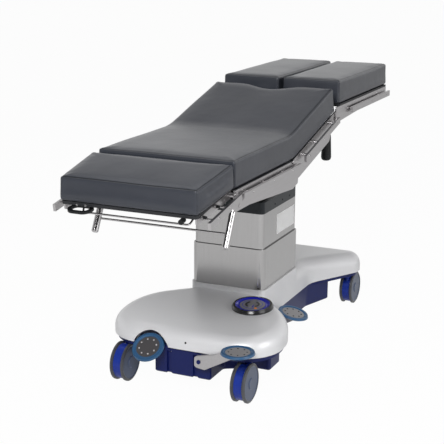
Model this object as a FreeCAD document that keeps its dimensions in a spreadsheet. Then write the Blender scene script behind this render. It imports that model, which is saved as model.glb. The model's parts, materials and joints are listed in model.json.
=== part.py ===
import FreeCAD, Part
import math
import os
import re

# Operating table on a castored pedestal, in millimetres.
# The origin is on the floor under the middle of the table's length and width.
# X runs to the leg end, Y to the patient's left when lying face up, Z up.
# The rest pose is the reflex position: back level, seat rising, head lowered.

V = FreeCAD.Vector

SIZES = {
    # Lying surface
    "pad_width": 540,
    "back_pad_height": 98,
    "head_pad_height": 84,
    "leg_pad_height": 98,
    "pad_edge": 10,
    "pad_clear": 0.3,
    "head_length": 262,
    "head_base": 14,
    "back_length": 568,
    "seat_length": 516,
    "leg_length": 715,
    "leg_gap": 16,
    "head_tilt": 9.5,
    "seat_tilt": 13.2,
    "fold_angle": 28.5,
    "cutout_width": 244,
    "cutout_depth": 45,
    # Hinge lines of the table top
    "back_hinge_x": -201,
    "back_hinge_z": 826,
    "head_hinge_drop": 4,
    "leg_hinge_drop": 20,
    "pad_seat": 14,
    "pin_radius": 8,
    "hinge_shaft_radius": 9,
    "bearing_clear": 0.1,
    "joint_gap": 0.3,
    # Side plates and panels
    "plate_thickness": 6,
    "plate_overhang": 2,
    "plate_step": 7,
    "head_bar_inset": 26,
    "panel_thickness": 12,
    "back_plate_depth": 76,
    "back_plate_depth_at_hinge": 110,
    "seat_plate_depth": 95,
    "seat_plate_end_depth": 60,
    "leg_plate_depth": 64,
    "leg_plate_end_depth": 34,
    # Accessory rails
    "rail_height": 25,
    "rail_thickness": 10,
    "rail_gap": 9,
    "spacer_radius": 7,
    "head_spacer_radius": 4,
    # Column
    "column_x": -16,
    "column_length": 390,
    "column_width": 316,
    "column_corner": 26,
    "shell_wall": 4,
    "shell_gap": 3,
    "lower_shell_top": 464,
    "upper_shell_top": 609,
    "upper_shell_length": 309,
    "cap_height": 46,
    "cap_wall": 14,
    "cap_floor": 10,
    "post_length": 200,
    "post_width": 170,
    "post_wall": 12,
    "post_height": 290,
    "guide_height": 20,
    # Tilt head
    "tilt_axis_z": 700,
    "roll_axis_rise": 40,
    "trunnion_radius": 16,
    "yoke_gap": 117,
    "yoke_cheek": 22,
    "cross_length": 140,
    "lug_thickness": 20,
    "lug_width": 84,
    "carrier_height": 40,
    "carrier_length": 260,
    # Base
    "cover_front": -637,
    "cover_rear": 684,
    "cover_half_width": 346,
    "cover_rear_half_width": 304,
    "waist_half_width": 164,
    "skirt_z": 170,
    "cover_front_z": 236,
    "cover_top_z": 284,
    "cover_rear_z": 248,
    "cover_crown_x": 150,
    "lobe_end": -190,
    "lobe_shoulder": -334,
    "lobe_corner": 156,
    "lobe_rear_corner": 270,
    "waist_corner": 30,
    "flare_start": 345,
    "pod_start": 588,
    "pod_corner": 62,
    "rim_radius": 56,
    "dome_spare": 20,
    "cover_wall": 5,
    "cover_lip": 5,
    "cover_lip_width": 16,
    "seat_margin": 6,
    "plinth_rise": 12,
    "slot_width": 206,
    "slot_height": 4,
    "slot_depth": 3,
    "cover_inset": 12,
    "housing_bottom": 60,
    "housing_bevel": 5,
    "housing_inset": 62,
    "lug_reach": 40,
    "flute_width": 20,
    "flute_depth": 9,
    "flange_thickness": 18,
    # Selector dial
    "dial_x": -335,
    "dial_y": -165,
    "dial_radius": 82,
    "dial_height": 14,
    "dial_disc_radius": 50,
    # Casters
    "caster_front_x": -578,
    "caster_rear_x": 616,
    "caster_y": 252,
    "caster_trail": 38,
    "wheel_radius": 75,
    "wheel_width": 14,
    "caster_body_width": 31,
    "stem_radius": 12,
    "axle_radius": 8,
    # Pedals
    "pedal_radius": 64,
    "pedal_thickness": 14,
    "arm_thickness": 14,
    "pump_x": -690,
    "pump_y": -256,
    "pump_z": 210,
    "brake_x": -654,
    "brake_y": 127,
    "brake_z": 160,
    "brake_lean": 37,
    "drive_x": -62,
    "drive_y": -232,
    "drive_z": 158,
    "drive_lean": 14,
    # Handles under the head end
    "prong_radius": 12.5,
    "prong_length": 157,
    "prong_lean": 28,
    "rod_radius": 4,
    "bail_radius": 3.5,
    "bail_inset": 55,
    "bail_drop": 34,
    "bail_reach": 56,
    "bail_bend": 14,
    "ear_thickness": 8,
    "paddle_length": 92,
    "paddle_width": 66,
    "paddle_reach": 76.7,
    "paddle_thickness": 8,
    "paddle_hole": 14,
    "paddle_shank": 30,
    "paddle_barrel": 7.5,
    "knob_radius": 9,
    # Grips under the leg hinge
    "grip_radius": 22,
    "grip_height": 120,
    "grip_drop": 60,
    "grip_inset": 38,
}

# Places that follow from other sizes, each a sum of sizes times factors.

LINKED = {
    "outer_plate_y": (("pad_width", 0.5), ("plate_overhang", 1)),
    "inner_plate_y": (("outer_plate_y", 1), ("plate_step", -1)),
    "head_bar_y": (("pad_width", 0.5), ("head_bar_inset", -1)),
    "rail_y": (("outer_plate_y", 1), ("plate_thickness", 1), ("rail_gap", 1)),
    "bail_half_width": (("pad_width", 0.5), ("bail_inset", -1)),
    "grip_y": (("pad_width", 0.5), ("grip_inset", -1)),
}

doc = FreeCAD.newDocument("OperatingTable")
sheet = doc.addObject("Spreadsheet::Sheet", "Sizes")
for row, (alias, value) in enumerate(SIZES.items(), start=1):
    sheet.set("A%d" % row, alias)
    sheet.set("B%d" % row, str(value))
    sheet.setAlias("B%d" % row, alias)
doc.recompute()

parts = []


def size(alias):
    """The sheet's value, or the sum that a linked place stands for, as a number."""
    if alias in LINKED:
        return sum(size(name) * factor for name, factor in LINKED[alias])
    return float(sheet.get(alias))


def words(text):
    """An expression in which each alias is read from the sheet."""
    def read(hit):
        name = hit.group(0)
        if name in LINKED:
            return "(" + " + ".join("%s * %s" % (words(part), factor) for part, factor in LINKED[name]) + ")"
        return "Sizes." + name if name in SIZES else name
    return re.sub(r"[a-z][a-z_0-9]*", read, text)


def keep(feature, label):
    """Name a finished piece and list it for export."""
    feature.Label = label
    parts.append(feature)
    return feature


def place(x=0, y=0, z=0, turn=0, axis=(0, 1, 0)):
    return FreeCAD.Placement(V(x, y, z), FreeCAD.Rotation(V(*axis), turn))


def rounded(corners):
    """Closed outline through (u, v, radius) corners, as lines and tangent arcs.

    Where two arcs need more than the side between them, both take their share of it."""
    count = len(corners)
    points = [V(c[0], c[1], 0) for c in corners]
    ways = [((points[i - 1] - points[i]).normalize(), (points[(i + 1) % count] - points[i]).normalize())
            for i in range(count)]
    halves = [before.getAngle(after) / 2 for before, after in ways]
    radii = [corner[2] if len(corner) > 2 else 0 for corner in corners]
    cuts = [max(radius, 0) / math.tan(half) for radius, half in zip(radii, halves)]
    shares = []
    for i in range(count):
        side = points[i].distanceToPoint(points[(i + 1) % count])
        shares.append(min(1, side / max(cuts[i] + cuts[(i + 1) % count], 1e-9)))
    ends = []
    edges = []
    for i in range(count):
        here = points[i]
        to_last, to_next = ways[i]
        half = halves[i]
        share = min(shares[i - 1], shares[i])
        radius = radii[i] * share
        if radius <= 0:
            ends.append((here, here))
            continue
        cut = cuts[i] * share
        start = here + to_last * cut
        stop = here + to_next * cut
        middle_way = (to_last + to_next).normalize()
        middle = here + middle_way * (radius / math.sin(half) - radius)
        ends.append((start, stop))
        edges.append(Part.Arc(start, middle, stop))
    for i in range(count):
        start = ends[i][1]
        stop = ends[(i + 1) % count][0]
        if start.distanceToPoint(stop) > 1e-6:
            edges.append(Part.LineSegment(start, stop))
    return edges


def rectangle(x0, y0, x1, y1, radius=0):
    return rounded([(x0, y0, radius), (x1, y0, radius), (x1, y1, radius), (x0, y1, radius)])


def circle(x, y, radius):
    return [Part.Circle(V(x, y, 0), V(0, 0, 1), radius)]


def new_body(label, placement=None, finished=True):
    """A body; one that is only a piece of another feature isn't listed for export."""
    body = doc.addObject("PartDesign::Body", label)
    body.Placement = placement or place()
    body.Label = label
    return keep(body, label) if finished else body


def sketch(body, plane, edges, lift=0):
    """A sketch on one of the body's own origin planes, raised along its normal."""
    drawing = body.newObject("Sketcher::SketchObject", body.Label + "_sketch")
    origin = [item for item in body.Origin.OriginFeatures if item.Role == plane][0]
    drawing.AttachmentSupport = [(origin, "")]
    drawing.MapMode = "FlatFace"
    drawing.AttachmentOffset = place(0, 0, lift)
    drawing.addGeometry(edges, False)
    doc.recompute()
    return drawing


def pad(body, drawing, length, middle=False):
    feature = body.newObject("PartDesign::Pad", body.Label + "_pad")
    feature.Profile = drawing
    feature.setExpression("Length", words(length))
    feature.Midplane = middle
    doc.recompute()
    return feature


def pocket(body, drawing, length, middle=False, back=False):
    """Cut the body, and stop if nothing was cut."""
    before = body.Shape.Volume
    feature = body.newObject("PartDesign::Pocket", body.Label + "_pocket")
    feature.Profile = drawing
    feature.setExpression("Length", words(length))
    feature.Midplane = middle
    feature.Reversed = back
    doc.recompute()
    if body.Shape.Volume >= before - 1:
        raise RuntimeError(body.Label + ": a pocket cut nothing")
    return feature


def round_edges(body, radius, chosen):
    """Fillet the edges of the body's tip that the test picks."""
    doc.recompute()
    base = body.Tip
    names = ["Edge%d" % (i + 1) for i, edge in enumerate(base.Shape.Edges) if chosen(edge)]
    feature = body.newObject("PartDesign::Fillet", body.Label + "_fillet")
    feature.Base = (base, names)
    feature.setExpression("Radius", words(radius))
    doc.recompute()
    return feature


def bevel_edges(body, width, chosen):
    """Chamfer the edges of the body's tip that the test picks."""
    doc.recompute()
    base = body.Tip
    names = ["Edge%d" % (i + 1) for i, edge in enumerate(base.Shape.Edges) if chosen(edge)]
    feature = body.newObject("PartDesign::Chamfer", body.Label + "_chamfer")
    feature.Base = (base, names)
    feature.setExpression("Size", words(width))
    doc.recompute()
    return feature


def revolve(body, drawing, axis="V_Axis"):
    feature = body.newObject("PartDesign::Revolution", body.Label + "_turn")
    feature.Profile = drawing
    feature.ReferenceAxis = (drawing, [axis])
    feature.Angle = 360
    doc.recompute()
    return feature


def box(label, length, width, height):
    feature = doc.addObject("Part::Box", label)
    feature.setExpression("Length", words(length))
    feature.setExpression("Width", words(width))
    feature.setExpression("Height", words(height))
    return feature


def cylinder(label, radius, height, placement):
    feature = doc.addObject("Part::Cylinder", label)
    feature.setExpression("Radius", words(radius))
    feature.setExpression("Height", words(height))
    feature.Placement = placement
    return feature


def fuse(label, pieces, placement=None):
    feature = doc.addObject("Part::MultiFuse", label)
    feature.Shapes = pieces
    feature.Refine = True
    feature.Placement = placement or place()
    doc.recompute()
    return keep(feature, label)


def solid(label, shape, placement=None):
    feature = doc.addObject("Part::Feature", label)
    feature.Shape = shape
    feature.Placement = placement or place()
    return keep(feature, label)


def side_plate(label, corners, holes, y, sign, frame, pins=()):
    """Upright plate outside y, with holes as (x, z, radius) and pins as (x, z, inner end)."""
    thickness = size("plate_thickness")
    middle = sign * (y + thickness / 2)
    body = new_body(label, frame.multiply(place(0, middle, 0)))
    pad(body, sketch(body, "XZ_Plane", rounded(corners)), "plate_thickness", middle=True)
    for x, z, radius in holes:
        pocket(body, sketch(body, "XZ_Plane", circle(x, z, radius)), "plate_thickness * 2", middle=True)
    for x, z, inner in pins:
        reach = y + thickness - inner
        centre = -sign * (thickness - reach) / 2
        pad(body, sketch(body, "XZ_Plane", circle(x, z, size("pin_radius")), centre), "%r" % reach,
            middle=True)
        head = -sign * (thickness / 2 + 1.5)
        pad(body, sketch(body, "XZ_Plane", circle(x, z, size("pin_radius") * 1.6), head), "3", middle=True)
    return body


def rail(label, frame, start, stop, top, inner_y, sign, stations, radius="spacer_radius"):
    """Flat bar on round spacers that stand on the section's side plate."""
    bar = box(label + "_bar", "%r" % (stop - start), "rail_thickness", "rail_height")
    y = size("rail_y") if sign > 0 else -size("rail_y") - size("rail_thickness")
    bar.Placement = place(start, y, top - size("rail_height"))
    pieces = [bar]
    middle = top - size("rail_height") / 2
    for number, x in enumerate(stations):
        foot = place(x, sign * inner_y, middle, -90 * sign, (1, 0, 0))
        spacer = cylinder("%s_spacer%d" % (label, number), radius, "rail_y - %r" % inner_y, foot)
        pieces.append(spacer)
    return fuse(label, pieces, frame)


# Hinge points, worked out from the lengths and tilts.

SEAT_RISE = math.radians(size("seat_tilt"))
BACK_X = size("back_hinge_x")
BACK_Z = size("back_hinge_z")
HEAD_X = BACK_X - size("back_length")
HEAD_Z = BACK_Z - size("head_hinge_drop")
LEG_X = BACK_X + size("seat_length") * math.cos(SEAT_RISE) + size("leg_hinge_drop") * math.sin(SEAT_RISE)
LEG_Z = BACK_Z + size("seat_length") * math.sin(SEAT_RISE) - size("leg_hinge_drop") * math.cos(SEAT_RISE)

BACK_FRAME = place(BACK_X, 0, BACK_Z)
SEAT_FRAME = place(BACK_X, 0, BACK_Z, -size("seat_tilt"))
HEAD_FRAME = place(HEAD_X, 0, HEAD_Z, -size("head_tilt"))
LEG_FRAME = place(LEG_X, 0, LEG_Z)
LEG_PAD_SEAT = 59

PIN_HOLE = size("pin_radius") + size("bearing_clear")
SHAFT_HOLE = size("hinge_shaft_radius") + size("bearing_clear")
OUTER_FACE = size("outer_plate_y") + size("plate_thickness")
INNER_FACE = size("inner_plate_y") + size("plate_thickness")


def cushion(label, corners, frame):
    """Upholstered block with a side outline and rounded upper edges."""
    body = new_body(label, frame)
    pad(body, sketch(body, "XZ_Plane", rounded(corners)), "pad_width", middle=True)
    return body


def soften(body, top, radius="pad_edge"):
    """Round the edges of a cushion that touch its upper face."""
    def upper(edge):
        return all(abs(vertex.Z - top) < 0.01 for vertex in edge.Vertexes)
    round_edges(body, radius, upper)


def offset_corner(start, stop, inset, level):
    """Where the line from start to stop, moved inwards, meets the height level."""
    run = V(stop[0] - start[0], stop[1] - start[1], 0).normalize()
    x = start[0] + run.y * inset
    y = start[1] - run.x * inset
    return x + (level - y) / run.y * run.x, level


def base_outline(inset):
    """Plan of the base: a broad front lobe that tapers to a narrow waist, and a flared rear."""
    front = size("cover_front") + inset
    rear = size("cover_rear") - inset
    wide = size("cover_half_width")
    tail = size("cover_rear_half_width")
    waist = size("waist_half_width")
    shoulder = (size("lobe_shoulder"), wide)
    lobe_end = (size("lobe_end"), waist)
    flare = (size("flare_start"), waist)
    pod = (size("pod_start"), tail)
    half = [(front, wide - inset, size("lobe_corner") - inset),
            offset_corner(shoulder, lobe_end, inset, wide - inset) + (size("lobe_rear_corner") - inset,),
            offset_corner(shoulder, lobe_end, inset, waist - inset) + (size("waist_corner") + inset,),
            offset_corner(flare, pod, inset, waist - inset) + (size("waist_half_width") + inset,),
            offset_corner(flare, pod, inset, tail - inset) + (size("pod_corner") - inset,),
            (rear, tail - inset, size("pod_corner") - inset)]
    return half + [(x, -y, r) for x, y, r in reversed(half)]


def dome_points(drop=0):
    """Three points of the cover's upper line, front to rear."""
    return (V(size("cover_front") - 20, size("cover_front_z") - 3 - drop, 0),
            V(size("cover_crown_x"), size("cover_top_z") - drop, 0),
            V(size("cover_rear") + 20, size("cover_rear_z") - 2 - drop, 0))


def dome_at(x):
    """Height and slope in degrees of the cover's upper line at x."""
    arc = Part.Arc(*dome_points()).toShape().Curve
    middle = arc.Center
    height = middle.y + math.sqrt(arc.Radius ** 2 - (x - middle.x) ** 2)
    return height, math.degrees(math.asin((middle.x - x) / arc.Radius))


def cover_form(label, inset, foot):
    """Base form: the plan outline cut by the dome line, with a broad rim radius."""
    body = new_body(label, finished=False)
    pad(body, sketch(body, "XY_Plane", rounded(base_outline(inset)), foot),
        "cover_top_z - %r + dome_spare" % foot)
    above = size("cover_top_z") + size("dome_spare") * 2
    start, crown, stop = dome_points(inset)
    dome = [Part.Arc(start, crown, stop), Part.LineSegment(stop, V(stop.x, above, 0)),
            Part.LineSegment(V(stop.x, above, 0), V(start.x, above, 0)),
            Part.LineSegment(V(start.x, above, 0), start)]
    pocket(body, sketch(body, "XZ_Plane", dome), "cover_half_width * 2 + 20", middle=True)
    front = size("cover_front") + inset
    rear = size("cover_rear") - inset

    def rim(edge):
        extent = edge.BoundBox
        level = extent.ZMin > size("skirt_z") + 40
        crease = extent.XLength < 0.01 and front + 5 < extent.XMin < rear - 5
        return level and not crease
    if inset:
        bevel_edges(body, "rim_radius * 0.7", rim)
    else:
        round_edges(body, "rim_radius", rim)
    return body


def base_cover():
    """Moulded cover: a hollow form with a plinth round the column and a pedal arch."""
    skirt = size("skirt_z")
    outer = cover_form("cover_outer", 0, skirt)
    inner = cover_form("cover_inner", size("cover_wall"), skirt + size("cover_lip"))
    top = size("cover_top_z")
    column_front = size("column_x") - size("column_length") / 2
    column_rear = size("column_x") + size("column_length") / 2
    margin = size("seat_margin")
    plinth_y = size("waist_half_width")
    plinth = rectangle(column_front - margin, -plinth_y, column_rear + margin, plinth_y,
                       size("column_corner") + 4)
    pad(outer, sketch(outer, "XY_Plane", plinth, size("skirt_z")), "cover_top_z + plinth_rise - skirt_z")
    slot = rectangle(-size("slot_width") / 2, top + size("plinth_rise") - size("slot_height") * 2,
                     size("slot_width") / 2, top + size("plinth_rise") - size("slot_height"), 1.5)
    pocket(outer, sketch(outer, "YZ_Plane", slot, column_front - margin - 1), "slot_depth + 1", back=True)
    gap = size("shell_wall") + 1
    well = rectangle(column_front + gap, -size("column_width") / 2 + gap,
                     column_rear - gap, size("column_width") / 2 - gap, size("column_corner") - gap)
    pocket(outer, sketch(outer, "XY_Plane", well, top + 40), "cover_top_z - skirt_z + 42")
    arch = circle(size("brake_y"), size("brake_z") - 14, size("pedal_radius") + 14)
    pocket(outer, sketch(outer, "YZ_Plane", arch, size("cover_front") - 1), "80", back=True)
    mouth = rounded(base_outline(size("cover_lip_width")))
    pocket(outer, sketch(outer, "XY_Plane", mouth, skirt - 1), "cover_lip + 2", back=True)
    shell = doc.addObject("Part::Cut", "base_cover")
    shell.Base = outer
    shell.Tool = inner
    doc.recompute()
    return keep(shell, "base_cover")


def housing_side():
    """Half width of the lower housing's nose, clear of the swinging front wheels."""
    return size("caster_y") - size("caster_trail") - size("wheel_radius") - 21


def housing_outline():
    """Plan of the lower housing: a fluted nose, a broad front block, the waist and a narrow tail."""
    front = size("cover_front") + size("cover_inset")
    sweep = size("caster_trail") + size("wheel_radius")
    side = housing_side()
    shoulder = size("caster_front_x") + sweep + 25
    broad = size("cover_half_width") - size("housing_inset")
    waist = size("waist_half_width") - size("cover_inset") - 2
    flute = size("flute_width")
    depth = size("flute_depth")
    panel = side * 0.38
    rear = size("caster_rear_x") - sweep - 8
    tail = side - 5
    half = [(front, panel), (front + depth, panel + 2), (front + depth, panel + flute - 2),
            (front, panel + flute), (front, side, 10), (shoulder - 60, side, 16),
            (shoulder, size("caster_y") - 30, 12), (shoulder, broad, 12),
            (size("lobe_shoulder") + 6, broad, 50), (size("lobe_end") - 30, waist, 12),
            (size("flare_start") - 14, waist, 60), (rear, waist + (rear - size("flare_start")) * 0.36, 12),
            (rear, tail, 10), (size("cover_rear") - 40, tail, 14)]
    return rounded(half + [(x, -y) + tuple(rest) for x, y, *rest in reversed(half)])


def lower_housing():
    """Housing under the flange, with a bevelled foot and the pins of the three pedals."""
    body = new_body("lower_housing")
    bottom = size("housing_bottom")
    pad(body, sketch(body, "XY_Plane", housing_outline(), bottom), "skirt_z - flange_thickness - housing_bottom")

    def lower(edge):
        return edge.BoundBox.ZMax < bottom + 0.01
    bevel_edges(body, "housing_bevel", lower)
    front = size("cover_front") + size("cover_inset")
    pump_y, pump_z = pump_pivot()
    reach = size("arm_thickness") + size("cover_inset") + 6
    pad(body, sketch(body, "YZ_Plane", circle(pump_y, pump_z, size("axle_radius")), front - reach),
        "%r" % (reach + 2))
    side = housing_side()
    brake_x, brake_z = brake_pivot()
    reach = size("brake_y") + size("arm_thickness") / 2 + 2 - side
    pad(body, sketch(body, "XZ_Plane", circle(brake_x, brake_z, size("axle_radius")), -side - reach),
        "%r" % (reach + 2))
    drive_y, drive_z = drive_pivot()
    arm = size("arm_thickness")
    start = size("drive_x") - arm * 2
    lug = rounded([(drive_y + size("lug_reach"), drive_z - 20), (drive_y + size("lug_reach"), drive_z + 16),
                   (drive_y - 16, drive_z + 16, 12), (drive_y - 16, drive_z - 16, 12)])
    pad(body, sketch(body, "YZ_Plane", lug, start), "arm_thickness")
    pad(body, sketch(body, "YZ_Plane", circle(drive_y, drive_z, size("axle_radius")), start),
        "arm_thickness * 2.5 + 2")
    return body


def chassis():
    """Flange that closes the cover and holds the caster seats."""
    body = new_body("chassis")
    flange_bottom = size("skirt_z") - size("flange_thickness")
    pad(body, sketch(body, "XY_Plane", rounded(base_outline(size("cover_inset"))), flange_bottom),
        "flange_thickness")
    slot = rectangle(size("cover_front"), housing_side() + 1, size("cover_front") + 82,
                     size("brake_y") + size("arm_thickness") / 2 + 3, 4)
    pocket(body, sketch(body, "XY_Plane", slot, size("skirt_z") + 1), "flange_thickness + 2")
    seats = []
    for x in (size("caster_front_x"), size("caster_rear_x")):
        for y in (-size("caster_y"), size("caster_y")):
            seats += circle(x, y, size("stem_radius") + size("bearing_clear"))
    pocket(body, sketch(body, "XY_Plane", seats, flange_bottom - 0.5), "flange_thickness - 3", back=True)
    return body


def pump_pivot():
    """Pivot of the pump pedal as (y, z)."""
    return -82, size("skirt_z") - 30


def brake_pivot():
    """Pivot of the brake pedal as (x, z)."""
    return size("cover_front") + 48, size("skirt_z") - 42


def drive_pivot():
    """Pivot of the drive pedal as (y, z)."""
    return -size("waist_half_width") - 8, size("skirt_z") - 46


def column_outline(inset, radius):
    x = size("column_x")
    return rectangle(x - size("column_length") / 2 + inset, -size("column_width") / 2 + inset,
                     x + size("column_length") / 2 - inset, size("column_width") / 2 - inset, radius)


def column():
    """Two telescoping stainless shells, the inner post and the dark cap on its top."""
    wall = size("shell_wall")
    gap = size("shell_gap")
    corner = size("column_corner")
    lower = new_body("column_lower_shell")
    pad(lower, sketch(lower, "XY_Plane", column_outline(0, corner) + column_outline(wall, corner - wall),
                      size("cover_top_z") + size("plinth_rise")),
        "lower_shell_top - cover_top_z - plinth_rise")
    inset = wall + gap
    guide = new_body("column_guide")
    clear = gap - size("joint_gap")
    pad(guide, sketch(guide, "XY_Plane", column_outline(wall, corner - wall)
                      + column_outline(wall + clear, corner - wall - clear),
                      size("lower_shell_top") - size("guide_height")), "guide_height")
    upper = new_body("column_upper_shell")
    bottom = size("upper_shell_top") - size("upper_shell_length")
    pad(upper, sketch(upper, "XY_Plane", column_outline(inset, corner - inset)
                      + column_outline(inset + wall, corner - inset - wall), bottom), "upper_shell_length")
    x = size("column_x")
    half_x = size("post_length") / 2
    half_y = size("post_width") / 2
    c = size("joint_gap")
    bearing = column_outline(inset + wall - 0.5, corner - inset - wall + 0.5)
    bearing += rectangle(x - half_x - c, -half_y - c, x + half_x + c, half_y + c, 10)
    pad(upper, sketch(upper, "XY_Plane", bearing, size("upper_shell_top") - size("guide_height") - 30),
        "guide_height")
    post = new_body("column_post")
    w = size("post_wall")
    section = rectangle(x - half_x, -half_y, x + half_x, half_y, 10)
    section += rectangle(x - half_x + w, -half_y + w, x + half_x - w, half_y - w, 4)
    pad(post, sketch(post, "XY_Plane", section, size("upper_shell_top") + c - size("post_height")),
        "post_height")
    cap = new_body("column_cap")
    start = size("upper_shell_top") + c
    pad(cap, sketch(cap, "XY_Plane", column_outline(inset, corner - inset), start), "cap_height")
    rim = size("cap_wall")
    pocket(cap, sketch(cap, "XY_Plane", column_outline(inset + rim, 10), start + size("cap_height")),
           "cap_height - cap_floor")
    screws = []
    for step in (-1, 0, 1):
        screws += circle(x + 22 + step * 83, start + size("cap_height") / 2 - 6, 4)
    pocket(cap, sketch(cap, "XZ_Plane", screws, size("column_width") / 2), "shell_gap * 4 + 6")


def tilt_head():
    """Yoke on the column, cross block with two crossed pins, carrier under the seat."""
    x = size("column_x")
    axis_z = size("tilt_axis_z")
    floor = size("upper_shell_top") + size("joint_gap") + size("cap_floor")
    gap = size("yoke_gap")
    cheek = size("yoke_cheek")
    hole = size("trunnion_radius") + size("bearing_clear")
    yoke = new_body("tilt_yoke", place(x, 0, 0))
    foot = rectangle(-70, -gap / 2 - cheek - 14, 70, gap / 2 + cheek + 14, 12)
    pad(yoke, sketch(yoke, "XY_Plane", foot, floor), "cap_floor")
    for sign in (-1, 1):
        start = sign * (gap / 2 + cheek / 2)
        profile = rounded([(-52, floor + size("cap_floor") - 0.5), (52, floor + size("cap_floor") - 0.5),
                           (34, axis_z + 32, 30), (-34, axis_z + 32, 30)])
        pad(yoke, sketch(yoke, "XZ_Plane", profile, start), "yoke_cheek", middle=True)
    pocket(yoke, sketch(yoke, "XZ_Plane", circle(0, axis_z, hole)), "yoke_gap * 2", middle=True)

    tilt = place(x, 0, axis_z, -size("seat_tilt"))
    reach = gap / 2 + cheek
    half = size("cross_length") / 2
    lug = size("lug_thickness")
    rise = size("roll_axis_rise")
    block = box("cross_block", "cross_length", "yoke_gap - 3", "roll_axis_rise + 60")
    block.Placement = place(-half, -gap / 2 + 1.5, -30)
    pitch_pin = cylinder("cross_pitch_pin", "trunnion_radius", "yoke_gap + yoke_cheek * 2",
                         place(0, reach, 0, 90, (1, 0, 0)))
    roll_pin = cylinder("cross_roll_pin", "trunnion_radius", "cross_length + lug_thickness * 2 + 10",
                        place(-half - lug - 5, 0, rise, 90, (0, 1, 0)))
    fuse("tilt_cross", [block, pitch_pin, roll_pin], tilt)

    under = seat_height_over_axis() - size("pad_clear") - size("panel_thickness")
    carrier = new_body("seat_carrier", tilt)
    width = size("inner_plate_y") * 2
    pad(carrier, sketch(carrier, "XY_Plane", rectangle(-size("carrier_length") / 2, -90,
                                                       size("carrier_length") / 2, 90, 10),
                        under - size("carrier_height")), "carrier_height")
    for end in (-1, 1):
        near = end * size("carrier_length") / 2
        arm = rectangle(min(near, near - end * 46), -width / 2, max(near, near - end * 46), width / 2)
        pad(carrier, sketch(carrier, "XY_Plane", arm, under - size("carrier_height")), "carrier_height")
    for end in (-1, 1):
        start = end * (half + 1.5 + lug / 2)
        drop = under - size("carrier_height") + 0.5
        profile = rounded([(-size("lug_width") / 2, drop), (-30, rise - 28, 24), (30, rise - 28, 24),
                           (size("lug_width") / 2, drop)])
        pad(carrier, sketch(carrier, "YZ_Plane", profile, start), "lug_thickness", middle=True)
    pocket(carrier, sketch(carrier, "YZ_Plane", circle(0, rise, hole)), "cross_length * 2", middle=True)


def seat_height_over_axis():
    """Height of the pad seat above the tilt axis, square to the seat."""
    run = size("column_x") - BACK_X
    return (BACK_Z - size("tilt_axis_z")) * math.cos(SEAT_RISE) + run * math.sin(SEAT_RISE) + size("pad_seat")


def head_panel_bottom():
    """Underside of the head panel in the head section's frame."""
    return size("pad_seat") + size("head_base") - size("pad_clear") - size("panel_thickness")


def bail_pivot():
    """Pivot of the bail in the head section's frame, as (x, z)."""
    return -size("head_length") + size("bail_reach") + 44, head_panel_bottom() - 9


def paddle_pivot():
    """Pivot of the paddle in the head section's frame."""
    return -size("head_length") + 44, size("bail_half_width") - 34, head_panel_bottom() - 12


def head_section():
    frame = HEAD_FRAME
    length = size("head_length")
    bottom = size("pad_seat") + size("head_base")
    top = bottom + size("head_pad_height")
    soft = cushion("head_pad", [(-length - 6, bottom), (-6, bottom), (-6, top), (-length - 6, top)], frame)
    soften(soft, top)
    panel = new_body("head_panel", frame)
    half = size("pad_width") / 2 - 14
    bar_top = head_panel_bottom()
    pad(panel, sketch(panel, "XY_Plane", rectangle(-length, -half, -20, half, 12), bar_top),
        "panel_thickness")
    ear = size("ear_thickness")
    back, pin_z = bail_pivot()
    for sign in (-1, 1):
        middle = sign * (size("bail_half_width") + size("bail_bend") + 2 + ear / 2)
        hang = rounded([(back - 9, bar_top + 1), (back + 9, bar_top + 1), (back + 8, pin_z - 8, 7.5),
                        (back - 8, pin_z - 8, 7.5)])
        pad(panel, sketch(panel, "XZ_Plane", hang, -middle), "ear_thickness", middle=True)
    bail_hole = circle(back, pin_z, size("bail_radius") + size("bearing_clear"))
    pocket(panel, sketch(panel, "XZ_Plane", bail_hole), "pad_width", middle=True)
    px, py, pz = paddle_pivot()
    shank = size("paddle_shank")
    for sign in (-1, 1):
        middle = py + sign * (shank / 2 + 1 + ear / 2)
        hang = rounded([(px - 10, bar_top + 1), (px + 10, bar_top + 1), (px + 8, pz - 8, 7.5),
                        (px - 8, pz - 8, 7.5)])
        pad(panel, sketch(panel, "XZ_Plane", hang, -middle), "ear_thickness", middle=True)
    pin = circle(px, pz, size("rod_radius"))
    pad(panel, sketch(panel, "XZ_Plane", pin, -py), "paddle_shank + ear_thickness", middle=True)
    bar_y = size("head_bar_y")
    corners = [(-length + 6, bar_top), (-length + 6, bar_top - 24, 8), (-40, bar_top - 34, 20),
               (-6, -20, 14), (14, -20, 14), (22, 0, 14), (14, bar_top - 2, 10), (-14, bar_top, 4)]
    top_rail = 3
    stations = [-length + 62, -length + 172]
    for name, sign in (("left", 1), ("right", -1)):
        side_plate("head_side_" + name, corners, [(0, 0, PIN_HOLE)], bar_y, sign, frame)
        face = bar_y + size("plate_thickness")
        rail("head_rail_" + name, frame, -length + 8, 4, top_rail + 2, face, sign, stations,
             "head_spacer_radius")


def release_pivot():
    """Pivot of the release handle in the back section's frame."""
    return -size("back_length") + 30, size("pad_seat") - size("back_plate_depth") + 15


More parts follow.
